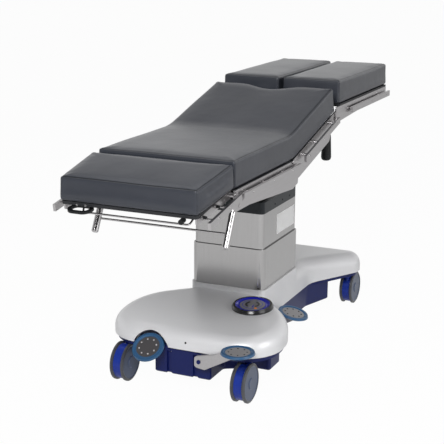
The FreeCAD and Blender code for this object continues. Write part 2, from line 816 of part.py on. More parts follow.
def back_section():
    frame = BACK_FRAME
    length = size("back_length")
    seat = size("pad_seat")
    height = size("back_pad_height")
    fold = math.tan(math.radians(size("fold_angle")))
    foot = 4 + seat * fold
    crest = 4 + (seat + height) * fold
    soft = cushion("back_pad", [(-length + 8, seat), (-foot, seat), (-crest, seat + height),
                                (-length + 8, seat + height)], frame)
    soften(soft, seat + height)
    panel = new_body("back_panel", frame)
    half = size("inner_plate_y")
    panel_top = seat - size("pad_clear")
    pad(panel, sketch(panel, "XY_Plane", rectangle(-length + 30, -size("outer_plate_y"), -60,
                                                   size("outer_plate_y")),
                      panel_top - size("panel_thickness")), "panel_thickness")
    shallow = size("back_plate_depth")
    deep = size("back_plate_depth_at_hinge")
    head_pin = -size("head_hinge_drop")
    corners = [(-length - 14, seat, 8), (-length - 14, seat - shallow, 14),
               (-length + 120, seat - shallow, 80), (-16, seat - deep, 50), (38, seat - deep + 14, 10),
               (40, seat - deep + 34, 10), (20, seat, 16)]
    rail_top = -1
    release_x, release_z = release_pivot()
    for name, sign in (("left", 1), ("right", -1)):
        side_plate("back_side_" + name, corners, [(release_x, release_z, PIN_HOLE)],
                   size("outer_plate_y"), sign, frame,
                   [(0, 0, size("inner_plate_y") - 1), (-length, head_pin, size("head_bar_y") - 1)])
        rail("back_rail_" + name, frame, -length + 26, 22, rail_top, OUTER_FACE, sign,
             [-length + 110, -length / 2, -94])


def seat_section():
    frame = SEAT_FRAME
    length = size("seat_length")
    seat = size("pad_seat")
    height = size("back_pad_height")
    fold = math.tan(math.radians(size("fold_angle")))
    foot = 4 + seat * fold
    crest = 4 + (seat + height) * fold
    end = length - 6
    soft = cushion("seat_pad", [(foot, seat), (end, seat), (end, seat + height), (crest, seat + height)],
                   frame)
    chord = size("cutout_width")
    depth = size("cutout_depth")
    radius = (chord * chord / 4 + depth * depth) / (2 * depth)
    bite = circle(end - depth + radius, 0, radius)
    pocket(soft, sketch(soft, "XY_Plane", bite, seat + height + 1), "back_pad_height + 2")
    soften(soft, seat + height)
    panel = new_body("seat_panel", frame)
    half = size("inner_plate_y")
    panel_top = seat - size("pad_clear")
    pad(panel, sketch(panel, "XY_Plane", rectangle(60, -half, end - depth - 10, half),
                      panel_top - size("panel_thickness")), "panel_thickness")
    depth_main = size("seat_plate_depth")
    depth_end = size("seat_plate_end_depth")
    corners = [(14, seat, 8), (-24, seat - 14, 10), (-24, seat - 42, 16), (44, seat - depth_main, 30),
               (428, seat - depth_main, 26), (438, seat - depth_end, 6), (length + 24, seat - depth_end, 22),
               (length + 24, seat, 10)]
    rail_top = -1
    for name, sign in (("left", 1), ("right", -1)):
        side_plate("seat_side_" + name, corners, [(0, 0, PIN_HOLE),
                                                  (length, -size("leg_hinge_drop"), SHAFT_HOLE)],
                   size("inner_plate_y"), sign, frame)
        rail("seat_rail_" + name, frame, 78, length - 20, rail_top, INNER_FACE, sign,
             [120, 250, length - 62])
    shaft = cylinder("shaft_bar", "hinge_shaft_radius", "(outer_plate_y + plate_thickness + 1) * 2",
                     place(0, OUTER_FACE + 1, 0, 90, (1, 0, 0)))
    keep(shaft, "leg_hinge_shaft")
    shaft.Placement = LEG_FRAME.multiply(shaft.Placement)


def leg_sections():
    frame = LEG_FRAME
    length = size("leg_length")
    start = 40
    seat = LEG_PAD_SEAT
    height = size("leg_pad_height")
    clear = size("pad_clear")
    inner = size("leg_gap") / 2
    outer = size("pad_width") / 2
    deep = size("leg_plate_depth")
    shallow = size("leg_plate_end_depth")
    plate_top = seat - 6
    for name, sign in (("left", 1), ("right", -1)):
        soft = new_body("leg_pad_" + name, frame)
        ys = sorted((sign * inner, sign * outer))
        pad(soft, sketch(soft, "XY_Plane", rectangle(start, ys[0], start + length, ys[1], 14), seat),
            "leg_pad_height")
        soften(soft, seat + height)
        panel = new_body("leg_panel_" + name, frame)
        ys = sorted((sign * (inner + 4), sign * size("outer_plate_y")))
        pad(panel, sketch(panel, "XY_Plane", rectangle(start + 6, ys[0], start + length - 12, ys[1]),
                          seat - clear - size("panel_thickness")), "panel_thickness")
        arm_y = sign * (inner + 4 + 5)
        under = seat - clear - size("panel_thickness")
        arm = rounded([(-18, -18, 16), (20, -18, 16), (start + 90, under, 0), (start + 10, under, 0),
                       (-18, 18, 16)])
        pad(panel, sketch(panel, "XZ_Plane", arm, -arm_y), "plate_thickness", middle=True)
        pocket(panel, sketch(panel, "XZ_Plane", circle(0, 0, SHAFT_HOLE), -arm_y), "plate_thickness * 2",
               middle=True)
        corners = [(-20, plate_top, 6), (-20, plate_top - deep, 14), (26, plate_top - deep - 1, 30),
                   (start + length - 30, plate_top - shallow, 8), (start + length - 30, plate_top, 8)]
        side_plate("leg_side_" + name, corners, [(0, 0, SHAFT_HOLE)], size("outer_plate_y"), sign, frame)
        rail("leg_rail_" + name, frame, 150, start + length - 24, plate_top - 19, OUTER_FACE, sign,
             [190, 400, length - 60])


def caster(name, x, y, outward):
    """Twin-wheel caster: a disc-shaped body with a stem, and two wheels on one axle."""
    wheel = size("wheel_radius")
    trail = size("caster_trail") * outward
    frame = place(x, y, 0)
    body = new_body("caster_%s_body" % name, frame)
    width = size("caster_body_width")
    pad(body, sketch(body, "XZ_Plane", circle(trail, wheel, wheel - 7)), "caster_body_width", middle=True)
    top = size("skirt_z") - size("flange_thickness") - size("joint_gap")
    pad(body, sketch(body, "XY_Plane", circle(0, 0, width / 2 - 0.5), wheel), "%r" % (top - wheel))
    pad(body, sketch(body, "XY_Plane", circle(0, 0, size("stem_radius")), top - 1),
        "flange_thickness - 4")
    bore = size("axle_radius") + size("bearing_clear")
    pocket(body, sketch(body, "XZ_Plane", circle(trail, wheel, bore)), "caster_body_width * 2", middle=True)
    inner = width / 2 + 0.5
    outer = inner + size("wheel_width")
    hub = size("axle_radius")
    half = [(hub, inner), (wheel - 7, inner), (wheel, inner + 4), (wheel, outer - 4), (wheel - 7, outer),
            (wheel - 13, outer - 3), (24, outer - 3), (20, outer), (0, outer)]
    profile = [(0, -outer)] + [(r, -y) for r, y in reversed(half[:-1])] + half
    wheels = new_body("caster_%s_wheels" % name, place(x + trail, y, wheel))
    revolve(wheels, sketch(wheels, "XY_Plane", rounded(profile)))


def pedal_disc(label, placement):
    """Round foot pad with a raised rim and a shallow dished face."""
    radius = size("pedal_radius")
    thick = size("pedal_thickness")
    profile = [(0, 0), (radius - 10, 0), (radius, thick * 0.45), (radius - 3, thick),
               (radius - 11, thick), (radius - 14, thick - 2.5), (0, thick - 2.5)]
    body = new_body(label, placement)
    revolve(body, sketch(body, "XZ_Plane", rounded(profile)))
    return body


def pedals():
    arm = size("arm_thickness")
    hole = size("axle_radius") + size("bearing_clear")

    x = size("cover_front") - 3 - arm / 2
    y = size("pump_y")
    z = size("pump_z")
    pivot_y, pivot_z = pump_pivot()
    pump = new_body("pump_pedal_arm", place(x, 0, 0))
    outline = rounded([(pivot_y + 18, pivot_z + 20, 12), (pivot_y + 18, pivot_z - 22, 12),
                       (pivot_y - 24, pivot_z - 28, 10), (y + 46, z - 40, 14), (y + 22, z - 12, 6),
                       (y - 8, z - 10, 4), (y - 8, z), (y + 44, z), (pivot_y - 60, pivot_z + 36, 20)])
    pad(pump, sketch(pump, "YZ_Plane", outline), "arm_thickness", middle=True)
    pocket(pump, sketch(pump, "YZ_Plane", circle(pivot_y, pivot_z, hole)), "arm_thickness * 2", middle=True)
    pedal_disc("pump_pedal_pad", place(size("pump_x"), y, z))

    x = size("brake_x")
    y = size("brake_y")
    z = size("brake_z")
    lean = math.radians(size("brake_lean"))
    pivot_x, pivot_z = brake_pivot()
    brake = new_body("brake_pedal_arm", place(0, y, 0))
    low = (x - 34 * math.cos(lean), z - 34 * math.sin(lean))
    high = (x + 34 * math.cos(lean), z + 34 * math.sin(lean))
    outline = rounded([low, high, (pivot_x - 6, pivot_z + 18, 6), (pivot_x + 16, pivot_z + 14, 12),
                       (pivot_x + 16, pivot_z - 14, 12), (pivot_x - 20, pivot_z - 14, 12)])
    pad(brake, sketch(brake, "XZ_Plane", outline), "arm_thickness", middle=True)
    pocket(brake, sketch(brake, "XZ_Plane", circle(pivot_x, pivot_z, hole)), "arm_thickness * 2",
           middle=True)
    pedal_disc("brake_pedal_pad", place(x, y, z, -size("brake_lean"), (0, 1, 0)))

    x = size("drive_x")
    y = size("drive_y")
    z = size("drive_z")
    lean = math.radians(size("drive_lean"))
    pivot_y, pivot_z = drive_pivot()
    drive = new_body("drive_pedal_arm", place(x, 0, 0))
    low = (y - 30 * math.cos(lean), z - 30 * math.sin(lean))
    high = (y + 30 * math.cos(lean), z + 30 * math.sin(lean))
    outline = rounded([low, high, (pivot_y + 8, pivot_z + 16, 8), (pivot_y + 14, pivot_z - 12, 12),
                       (pivot_y - 14, pivot_z - 16, 12)])
    pad(drive, sketch(drive, "YZ_Plane", outline), "arm_thickness", middle=True)
    pocket(drive, sketch(drive, "YZ_Plane", circle(pivot_y, pivot_z, hole)), "arm_thickness * 2",
           middle=True)
    pedal_disc("drive_pedal_pad", place(x, y, z, size("drive_lean"), (1, 0, 0)))


def dial():
    """Selector: a ring with a dish on the sloping lobe, and a turning disc with a grip bar."""
    x = size("dial_x")
    z, slope = dome_at(x)
    frame = place(x, size("dial_y"), z, -slope)
    radius = size("dial_radius")
    height = size("dial_height")
    disc = size("dial_disc_radius")
    ring = new_body("dial_ring", frame)
    profile = [(0, 0), (radius, 0), (radius, height * 0.4), (radius - 5, height), (radius - 14, height),
               (disc + 8, height - 6), (disc + 3, height - 7), (0, height - 7)]
    revolve(ring, sketch(ring, "XZ_Plane", rounded(profile)))
    knob = new_body("dial_knob", frame.multiply(place(0, 0, height - 7 + size("joint_gap"))))
    pad(knob, sketch(knob, "XY_Plane", circle(0, 0, disc)), "dial_height / 3")
    grip = rectangle(-disc * 0.66, -8, disc * 0.66, 8, 6)
    pad(knob, sketch(knob, "XY_Plane", grip, size("dial_height") / 3), "dial_height / 2")


def tube(points, bends, radius):
    """Round bar along straight runs joined by arcs."""
    edges = []
    start = points[0]
    for i in range(1, len(points) - 1):
        here = points[i]
        back = (points[i - 1] - here).normalize()
        ahead = (points[i + 1] - here).normalize()
        half = back.getAngle(ahead) / 2
        cut = bends / math.tan(half)
        first = here + back * cut
        last = here + ahead * cut
        middle = here + (back + ahead).normalize() * (bends / math.sin(half) - bends)
        edges.append(Part.LineSegment(start, first).toShape())
        edges.append(Part.Arc(first, middle, last).toShape())
        start = last
    edges.append(Part.LineSegment(start, points[-1]).toShape())
    path = Part.Wire(edges)
    ring = Part.Wire(Part.Circle(points[0], points[1] - points[0], radius).toShape())
    return path.makePipeShell([ring], True, True)


def head_end_handles():
    """Release handle of two leaning tubes and a rod, wire bail, paddle and knob."""
    pivot_x, pivot_z = release_pivot()
    lean = size("prong_lean")
    radius = size("prong_radius")
    length = size("prong_length")
    y = size("outer_plate_y") - radius - 2
    pieces = []
    for name, sign in (("left", 1), ("right", -1)):
        tube_body = new_body("release_tube_" + name, place(0, sign * y, 0), finished=False)
        crown = size("pin_radius") + 9
        profile = [(0, -length), (radius - 4, -length), (radius, -length + 4), (radius, crown - 4),
                   (radius - 4, crown), (0, crown)]
        revolve(tube_body, sketch(tube_body, "XZ_Plane", rounded(profile)))
        stub = cylinder("release_stub_" + name, "pin_radius", "prong_radius + plate_thickness + 3",
                        place(0, sign * y, 0, -90 * sign, (1, 0, 0)))
        pieces += [tube_body, stub]
    rod = cylinder("release_rod", "rod_radius", "(outer_plate_y - prong_radius - 2) * 2",
                   place(0, y, -length * 0.66, 90, (1, 0, 0)))
    pieces.append(rod)
    turned = BACK_FRAME.multiply(place(pivot_x, 0, pivot_z, lean))
    fuse("release_handle", pieces, turned)

    frame = HEAD_FRAME
    head = size("head_length")
    half = size("bail_half_width")
    back, pin_z = bail_pivot()
    front = back - size("bail_reach")
    low = pin_z - size("bail_drop")
    out = half + size("bail_bend") + size("ear_thickness") + 4
    wire = tube([V(back, out, pin_z), V(back, half - 2, pin_z), V(front, half - 12, low),
                 V(front, -half + 12, low), V(back, -half + 2, pin_z), V(back, -out, pin_z)],
                size("bail_bend"), size("bail_radius"))
    solid("release_bail", wire, frame)
    px, py, pz = paddle_pivot()
    thick = size("paddle_thickness")
    paddle = new_body("release_paddle", frame.multiply(place(px, py, pz)))
    span = size("paddle_length") / 2
    depth = size("paddle_width")
    tip = -size("paddle_reach")
    hole = size("paddle_hole")
    outline = rectangle(tip, -span, tip + depth, span, depth / 2 - 2)
    pad(paddle, sketch(paddle, "XY_Plane", outline, -thick / 2), "paddle_thickness")
    shank = rectangle(tip + depth - hole, -size("paddle_shank") / 2, 0, size("paddle_shank") / 2)
    pad(paddle, sketch(paddle, "XY_Plane", shank, -thick / 2), "paddle_thickness")
    barrel = circle(0, 0, size("paddle_barrel"))
    pad(paddle, sketch(paddle, "XZ_Plane", barrel), "paddle_shank", middle=True)
    window = rectangle(tip + hole, -span + hole, tip + depth - hole, span - hole, depth / 2 - hole - 1)
    pocket(paddle, sketch(paddle, "XY_Plane", window, thick), "paddle_thickness * 2")
    bore = circle(0, 0, size("rod_radius") + size("bearing_clear"))
    pocket(paddle, sketch(paddle, "XZ_Plane", bore), "paddle_shank * 2", middle=True)
    under = head_panel_bottom() - size("joint_gap")
    knob = cylinder("head_knob", "knob_radius", "24", frame.multiply(
        place(-head - 14, -half + 14, under - size("knob_radius"), 90, (0, 1, 0))))
    keep(knob, "head_knob")


def leg_grips():
    """Black hand grips that hang on collars round the leg hinge shaft."""
    radius = size("grip_radius")
    height = size("grip_height")
    top = -size("grip_drop")
    for name, sign in (("left", 1), ("right", -1)):
        body = new_body("leg_grip_" + name, place(LEG_X, sign * size("grip_y"), LEG_Z))
        profile = [(0, -size("hinge_shaft_radius")), (9, -size("hinge_shaft_radius")), (9, top),
                   (radius * 0.62, top), (radius * 0.82, top - 14), (radius, top - height + 14),
                   (radius * 0.86, top - height + 4), (radius * 0.6, top - height), (0, top - height)]
        revolve(body, sketch(body, "XZ_Plane", rounded(profile)))
        pad(body, sketch(body, "XZ_Plane", circle(0, 0, size("hinge_shaft_radius") + 7)), "grip_radius",
            middle=True)
        pocket(body, sketch(body, "XZ_Plane", circle(0, 0, SHAFT_HOLE)), "grip_radius * 2", middle=True)


base_cover()
chassis()
lower_housing()
column()
tilt_head()
head_section()
back_section()
seat_section()
leg_sections()
caster("front_left", size("caster_front_x"), size("caster_y"), -1)
caster("front_right", size("caster_front_x"), -size("caster_y"), -1)
caster("rear_left", size("caster_rear_x"), size("caster_y"), 1)
caster("rear_right", size("caster_rear_x"), -size("caster_y"), 1)
pedals()
dial()
head_end_handles()
leg_grips()
doc.recompute()

broken = [item.Label for item in doc.Objects if "Invalid" in item.State or "Error" in item.State]
for piece in parts:
    if piece.Shape.isNull() or not piece.Shape.isValid():
        broken.append(piece.Label)
if broken:
    raise RuntimeError("failed: " + ", ".join(broken))

os.makedirs("parts", exist_ok=True)
for piece in parts:
    piece.Shape.exportStep("parts/%s.step" % piece.Label)
print(len(parts), "pieces")
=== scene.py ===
"""Operating table: upholstery, finishes, small fittings and the studio."""

import json
import math

import bpy
import numpy as np
from bpy.props import FloatProperty, FloatVectorProperty, IntProperty, PointerProperty
from bpy.types import Operator, Panel, PropertyGroup
from mathutils import Matrix, Vector


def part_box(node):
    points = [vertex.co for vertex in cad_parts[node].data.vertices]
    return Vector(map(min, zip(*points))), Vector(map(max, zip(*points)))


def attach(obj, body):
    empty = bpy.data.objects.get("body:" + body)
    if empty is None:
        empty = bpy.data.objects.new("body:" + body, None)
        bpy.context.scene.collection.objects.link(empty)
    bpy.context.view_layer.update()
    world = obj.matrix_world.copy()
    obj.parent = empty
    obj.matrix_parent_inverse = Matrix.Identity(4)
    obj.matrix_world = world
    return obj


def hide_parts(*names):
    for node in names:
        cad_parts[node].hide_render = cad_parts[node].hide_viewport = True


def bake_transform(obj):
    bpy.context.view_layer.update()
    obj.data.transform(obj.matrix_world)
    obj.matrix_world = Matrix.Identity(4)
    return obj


bl_info = {
    "name": "Operating Table",
    "version": (1, 0, 0),
    "blender": (4, 5, 0),
    "location": "3D View > Sidebar > Table",
    "description": "Dresses the operating table and sets up its studio",
    "category": "Object",
}

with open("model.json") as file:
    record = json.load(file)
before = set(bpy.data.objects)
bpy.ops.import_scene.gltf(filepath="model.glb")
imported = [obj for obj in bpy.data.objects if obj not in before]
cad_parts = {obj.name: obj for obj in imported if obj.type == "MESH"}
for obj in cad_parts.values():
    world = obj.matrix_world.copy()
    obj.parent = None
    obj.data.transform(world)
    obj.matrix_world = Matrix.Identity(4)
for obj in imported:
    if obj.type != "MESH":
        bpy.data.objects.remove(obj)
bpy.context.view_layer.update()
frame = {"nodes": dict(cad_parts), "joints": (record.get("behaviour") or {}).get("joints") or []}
NODES = frame["nodes"]
JOINTS = {joint["name"]: joint for joint in frame["joints"]}


def linear(code):
    """Linear RGB of an sRGB hex code, by the sRGB curve."""
    parts = np.array([int(code[i:i + 2], 16) for i in (0, 2, 4)]) / 255.0
    bent = np.where(parts <= 0.04045, parts / 12.92, ((parts + 0.055) / 1.055) ** 2.4)
    return tuple(float(value) for value in bent)


def length_of(name, description, default, low=0.0):
    """A length property in metres."""
    return FloatProperty(name=name, description=description, default=default, min=low,
                         subtype="DISTANCE", unit="LENGTH", precision=4)


def colour_of(name, description, code):
    """A colour property with an sRGB hex default."""
    return FloatVectorProperty(name=name, description=description, default=linear(code),
                               size=3, min=0.0, max=1.0, subtype="COLOR")


def joint_point(name):
    """A joint's place, in metres."""
    return Vector(JOINTS[name]["pos_m"])


# How the three foot pads are turned about X and Y, in degrees, as in the CAD.
PAD_TURNS = {"pump": (0, 0), "brake": (0, -37), "drive": (14, 0)}

# Slopes of the two tilted sections at rest, in degrees: the head section falls and the seat rises.
HEAD_TILT = 9.5
SEAT_TILT = 13.2

# Half the height of an accessory rail, which is 25 mm.
RAIL_HALF = 0.0125

# The head cushion's length, width and height, and the middle of its foot in the head hinge's frame.
HEAD_CUSHION = (0.257, 0.536, 0.083)
HEAD_CUSHION_FOOT = (-0.1375, 0, 0.028)

# Frames of the cloth simulation, and the height under which a cushion's points are pinned.
CLOTH_FRAMES = 20
PINNED = 0.012

# X and Z of the release pins and of the hinge cap on each side; the screws of head panel and base cover.
RELEASE_PINS = ((-0.9759, 0.7895), (-0.8739, 0.8037))
HINGE_CAP = (-0.2233, 0.8374)
PANEL_SCREWS = ((-1.0302, 0.1942, 0.7965), (-1.0303, 0.1609, 0.7973))
COVER_SCREW = (-0.6353, -0.0192, 0.199)

# X and Z of the mouth of the hollow behind the leaning foot pad.
RECESS_MOUTH = (-0.617, 0.146)

# Height of the dial's disc above its joint's position.
DIAL_FACE = 0.012

# The photograph's width and its camera's focal length, both in pixels.
PHOTO_WIDTH = 444.0
PHOTO_FOCAL = 1106.57


class TableSizes(PropertyGroup):
    pad_corner: length_of("Pad corner", "Radius of a cushion's long edges", 0.011)
    pad_crown: length_of("Pad crown", "Rise of a cushion's middle above its edges", 0.003)
    pad_bulge: length_of("Pad bulge", "Swell of a cushion's sides", 0.002)
    pad_swell: length_of("Pad swell", "Most that the filling may push a cushion's cover out", 0.004)
    seat_rise: length_of("Seat rise", "Extra thickness of the mattress at the seat's end", 0.009)
    welt: length_of("Welt", "Height of the seam along a cushion's upper edges", 0.0011)
    bend_radius: length_of("Bend radius", "Radius at which the mattress bends over the back hinge", 0.52)
    notch_depth: length_of("Notch depth", "Depth of the cut-out at the seat's end", 0.047)
    notch_width: length_of("Notch width", "Half width of the cut-out at the seat's end", 0.150)
    screw_radius: length_of("Screw radius", "Radius of the screw heads in the rails", 0.0042)
    screw_rise: length_of("Screw rise", "Height of a screw head", 0.0012)
    label_width: length_of("Label width", "Length of the blank plate on the column", 0.200)
    label_height: length_of("Label height", "Height of the blank plate on the column", 0.083)
    stud_radius: length_of("Stud radius", "Radius of the studs on the foot pads", 0.0032)
    stud_ring: length_of("Stud ring", "Distance of the studs from the middle of a foot pad", 0.034)
    recess_radius: length_of("Recess radius", "Radius of the hollow behind the leaning foot pad", 0.0765)
    recess_depth: length_of("Recess depth", "Depth of the hollow behind the leaning foot pad", 0.075)
    bar_length: length_of("Bar length", "Length of the bar on the dial's disc", 0.056)
    grid_steps: IntProperty(name="Grid steps", description="Divisions along a cushion's longer flat part",
                            default=72, min=8)


class TableColours(PropertyGroup):
    upholstery: colour_of("Upholstery", "Coated fabric of the cushions", "363941")
    lacquer: colour_of("Lacquer", "Silver lacquer of the base cover", "E3E3E5")
    navy: colour_of("Navy", "Moulded underbody", "101C58")
    steel: colour_of("Steel", "Stainless column shells", "B4B3B3")
    plate: colour_of("Plate", "Side plates and rails", "BEBCBD")
    black: colour_of("Black", "Handles and fittings", "1A1B1D")
    cap: colour_of("Cap", "Column cap and tilt head", "24292D")
    panel: colour_of("Panel", "Carrier panels under the cushions", "2B2C2F")
    caster: colour_of("Caster", "Caster bodies", "1B3596")
    disc: colour_of("Disc", "Outer wheel discs", "43506B")
    tread: colour_of("Tread", "Wheel treads", "4A4B4F")
    skirt: colour_of("Skirt", "Rims of the foot pads", "2F587F")
    tread_plate: colour_of("Tread plate", "Faces of the level foot pads", "8E8C8E")
    # Painted shade: the leaning foot pad's face is a darker copy of the level pads' grey.
    shaded_brake_plate: colour_of("Brake plate", "Face of the leaning foot pad", "4A484A")
    lamp: colour_of("Lamp", "Status lamp of the dial", "F08A28")
    dial_dish: colour_of("Dial dish", "Dish of the selector dial", "2429A8")
    dial_face: colour_of("Dial face", "Turning disc of the selector dial", "77767A")
    paper: colour_of("Label", "Blank plate on the column", "FAFAFA")


# ---------------------------------------------------------------- materials


def add(tree, kind, links=None, **settings):
    """Add a node with its settings; links maps a socket to a value or to another node's socket."""
    node = tree.nodes.new(kind)
    for name, value in settings.items():
        setattr(node, name, value)
    for socket, source in (links or {}).items():
        if isinstance(source, bpy.types.NodeSocket):
            tree.links.new(source, node.inputs[socket])
        else:
            node.inputs[socket].default_value = source
    return node


def rgba(colour, factor=1.0):
    """An opaque colour for a socket, darkened or lightened by a factor."""
    return (*[min(1.0, c * factor) for c in colour], 1.0)


def new_material(name, **sockets):
    """An empty material with a Principled shader whose sockets take plain numbers."""
    material = bpy.data.materials.new(name)
    material.use_nodes = True
    tree = material.node_tree
    tree.nodes.clear()
    shader = add(tree, "ShaderNodeBsdfPrincipled", sockets)
    add(tree, "ShaderNodeOutputMaterial", {"Surface": shader.outputs["BSDF"]})
    return material, tree, shader


def spread(tree, noise, low, high):
    """A colour between two, by a noise."""
    ramp = add(tree, "ShaderNodeValToRGB", {"Fac": noise})
    ramp.color_ramp.elements[0].position = 0.3
    ramp.color_ramp.elements[0].color = low
    ramp.color_ramp.elements[1].position = 0.7
    ramp.color_ramp.elements[1].color = high
    return ramp.outputs["Color"]


def coated_fabric(colour):
    # Stretch fabric with a satin polyurethane skin, as on hospital mattresses: painted shade darkening the
    # sewn grooves, a fine pebble, and slow unevenness where the foam pulls it. The real 0.6 mm pebble is
    # drawn at 3 mm so that it shows.
    material, tree, shader = new_material("polyurethane coated fabric", Metallic=0.0, Roughness=0.31, IOR=1.5)
    where = add(tree, "ShaderNodeTexCoord").outputs["Object"]
    slow = add(tree, "ShaderNodeTexNoise", {"Vector": where, "Scale": 5.0, "Detail": 3.0})
    cloth = spread(tree, slow.outputs["Fac"], rgba(colour, 0.92), rgba(colour, 1.08))
    # Painted shade: the seam share darkens the cloth to about a fifth in the sewn grooves and upright
    # corners.
    seam = add(tree, "ShaderNodeAttribute", attribute_name="seam")
    groove_shade = add(tree, "ShaderNodeMapRange", {"Value": seam.outputs["Fac"], "To Min": 1.0, "To Max": 0.22})
    shaded_cloth = add(tree, "ShaderNodeVectorMath", {0: cloth, 1: groove_shade.outputs["Result"]}, operation="MULTIPLY")
    tree.links.new(shaded_cloth.outputs["Vector"], shader.inputs["Base Color"])
    pebble = add(tree, "ShaderNodeTexVoronoi", {"Vector": where, "Scale": 330.0})
    grain = add(tree, "ShaderNodeBump", {"Height": pebble.outputs["Distance"], "Strength": 0.10,
                                         "Distance": 0.0006})
    pull = add(tree, "ShaderNodeTexNoise", {"Vector": where, "Scale": 9.0, "Detail": 2.0})
    waves = add(tree, "ShaderNodeBump", {"Height": pull.outputs["Fac"], "Strength": 0.30, "Distance": 0.006,
                                         "Normal": grain.outputs["Normal"]})
    tree.links.new(waves.outputs["Normal"], shader.inputs["Normal"])
    return material


def silver_lacquer(colour):
    # Metallic lacquer on a moulded cover: fine flake under a satin clear coat.
    material, tree, shader = new_material("silver lacquer", Metallic=0.22, Roughness=0.38, IOR=1.5)
    shader.inputs["Coat Weight"].default_value = 0.25
    shader.inputs["Coat Roughness"].default_value = 0.22
    where = add(tree, "ShaderNodeTexCoord").outputs["Object"]
    flake = add(tree, "ShaderNodeTexNoise", {"Vector": where, "Scale": 900.0, "Detail": 1.0})
    tree.links.new(spread(tree, flake.outputs["Fac"], rgba(colour, 0.96), rgba(colour, 1.03)),
                   shader.inputs["Base Color"])
    skin = add(tree, "ShaderNodeTexNoise", {"Vector": where, "Scale": 60.0, "Detail": 2.0})
    bump = add(tree, "ShaderNodeBump", {"Height": skin.outputs["Fac"], "Strength": 0.05, "Distance": 0.001})
    tree.links.new(bump.outputs["Normal"], shader.inputs["Normal"])
    return material


def brushed_metal(name, colour, roughness, stretch):
    # Sheet or bar ground with a belt: fine parallel scratches along one direction. The real 0.2 mm scratches
    # are drawn about 2 mm apart so that they show.
    material, tree, shader = new_material(name, Metallic=1.0, Roughness=roughness)
    where = add(tree, "ShaderNodeTexCoord").outputs["Object"]
    along = add(tree, "ShaderNodeMapping", {"Vector": where, "Scale": stretch})
    lines = add(tree, "ShaderNodeTexNoise", {"Vector": along.outputs["Vector"], "Scale": 1.0, "Detail": 3.0})
    tree.links.new(spread(tree, lines.outputs["Fac"], rgba(colour, 0.96), rgba(colour, 1.03)),
                   shader.inputs["Base Color"])
    bump = add(tree, "ShaderNodeBump", {"Height": lines.outputs["Fac"], "Strength": 0.06, "Distance": 0.0005})
    tree.links.new(bump.outputs["Normal"], shader.inputs["Normal"])
    return material


def moulded_plastic(name, colour, roughness, grain=0.08):
    # Injection moulding with a fine spark-eroded grain.
    material, tree, shader = new_material(name, Metallic=0.0, Roughness=roughness, IOR=1.46)
    shader.inputs["Specular IOR Level"].default_value = 0.3
    where = add(tree, "ShaderNodeTexCoord").outputs["Object"]
    speck = add(tree, "ShaderNodeTexNoise", {"Vector": where, "Scale": 350.0, "Detail": 2.0})
    tree.links.new(spread(tree, speck.outputs["Fac"], rgba(colour, 0.94), rgba(colour, 1.05)),
                   shader.inputs["Base Color"])
    bump = add(tree, "ShaderNodeBump", {"Height": speck.outputs["Fac"], "Strength": grain,
                                        "Distance": 0.0005})
    tree.links.new(bump.outputs["Normal"], shader.inputs["Normal"])
    return material


def ringed(name, centre, turn, rings, roughness):
    """Colours by the distance from an axis: rings holds (outer radius, colour), from the middle out."""
    material, tree, shader = new_material(name, Metallic=0.0, Roughness=roughness, IOR=1.48)
    where = add(tree, "ShaderNodeTexCoord").outputs["Object"]
    moved = add(tree, "ShaderNodeVectorMath", {0: where, 1: centre}, operation="SUBTRACT")
    local = add(tree, "ShaderNodeVectorRotate", {"Vector": moved.outputs["Vector"], "Rotation": turn},
                rotation_type="EULER_XYZ", invert=True)
    flat = add(tree, "ShaderNodeVectorMath", {0: local.outputs["Vector"], 1: (1.0, 1.0, 0.0)},
               operation="MULTIPLY")
    radius = add(tree, "ShaderNodeVectorMath", {0: flat.outputs["Vector"]}, operation="LENGTH")
    last = rings[-1][0]
    share = add(tree, "ShaderNodeMath", {0: radius.outputs["Value"], 1: last}, operation="DIVIDE")
    ramp = add(tree, "ShaderNodeValToRGB", {"Fac": share.outputs["Value"]})
    ramp.color_ramp.interpolation = "CONSTANT"
    stops = ramp.color_ramp.elements
    stops[0].position = 0.0
    stops[0].color = rgba(rings[0][1])
    stops.remove(stops[1])
    for (inner, _), (_, colour) in zip(rings[:-1], rings[1:]):
        stop = stops.new(inner / last)
        stop.color = rgba(colour)
    speck = add(tree, "ShaderNodeTexNoise", {"Vector": where, "Scale": 260.0, "Detail": 2.0})
    shade = add(tree, "ShaderNodeMapRange", {"Value": speck.outputs["Fac"], "To Min": 0.93, "To Max": 1.06})
    mixed = add(tree, "ShaderNodeVectorMath", {0: ramp.outputs["Color"], 1: shade.outputs["Result"]},
                operation="MULTIPLY")
    tree.links.new(mixed.outputs["Vector"], shader.inputs["Base Color"])
    bump = add(tree, "ShaderNodeBump", {"Height": speck.outputs["Fac"], "Strength": 0.06, "Distance": 0.0005})
    tree.links.new(bump.outputs["Normal"], shader.inputs["Normal"])
    return material


def clear_rays(tree, path):
    """One for a ray from the camera, straight or through glass, and zero for any other."""
    either = add(tree, "ShaderNodeMath", {0: path.outputs["Is Camera Ray"],
                                          1: path.outputs["Is Transmission Ray"]}, operation="MAXIMUM")
    return either.outputs["Value"]


def finish(nodes, material):
    """Give CAD nodes a finish of this scene."""
    for name in nodes:
        mesh = NODES[name].data
        mesh.materials.clear()
        mesh.materials.append(material)


# ------------------------------------------------------------------ meshes


def new_piece(name, points, faces, material, smooth=True, seam=None):
    """A mesh object from arrays of points and faces, with the share of sewn groove at each point, which the
    fabric darkens as painted shade.
    """
    mesh = bpy.data.meshes.new(name)
    mesh.from_pydata(points.tolist(), [], faces.tolist())
    mesh.update()
    if seam is not None:
        mesh.attributes.new("seam", "FLOAT", "POINT").data.foreach_set("value", seam.astype(np.float32))
    mesh.polygons.foreach_set("use_smooth", [smooth] * len(mesh.polygons))
    mesh.materials.append(material)
    piece = bpy.data.objects.new(name, mesh)
    bpy.context.scene.collection.objects.link(piece)
    return piece


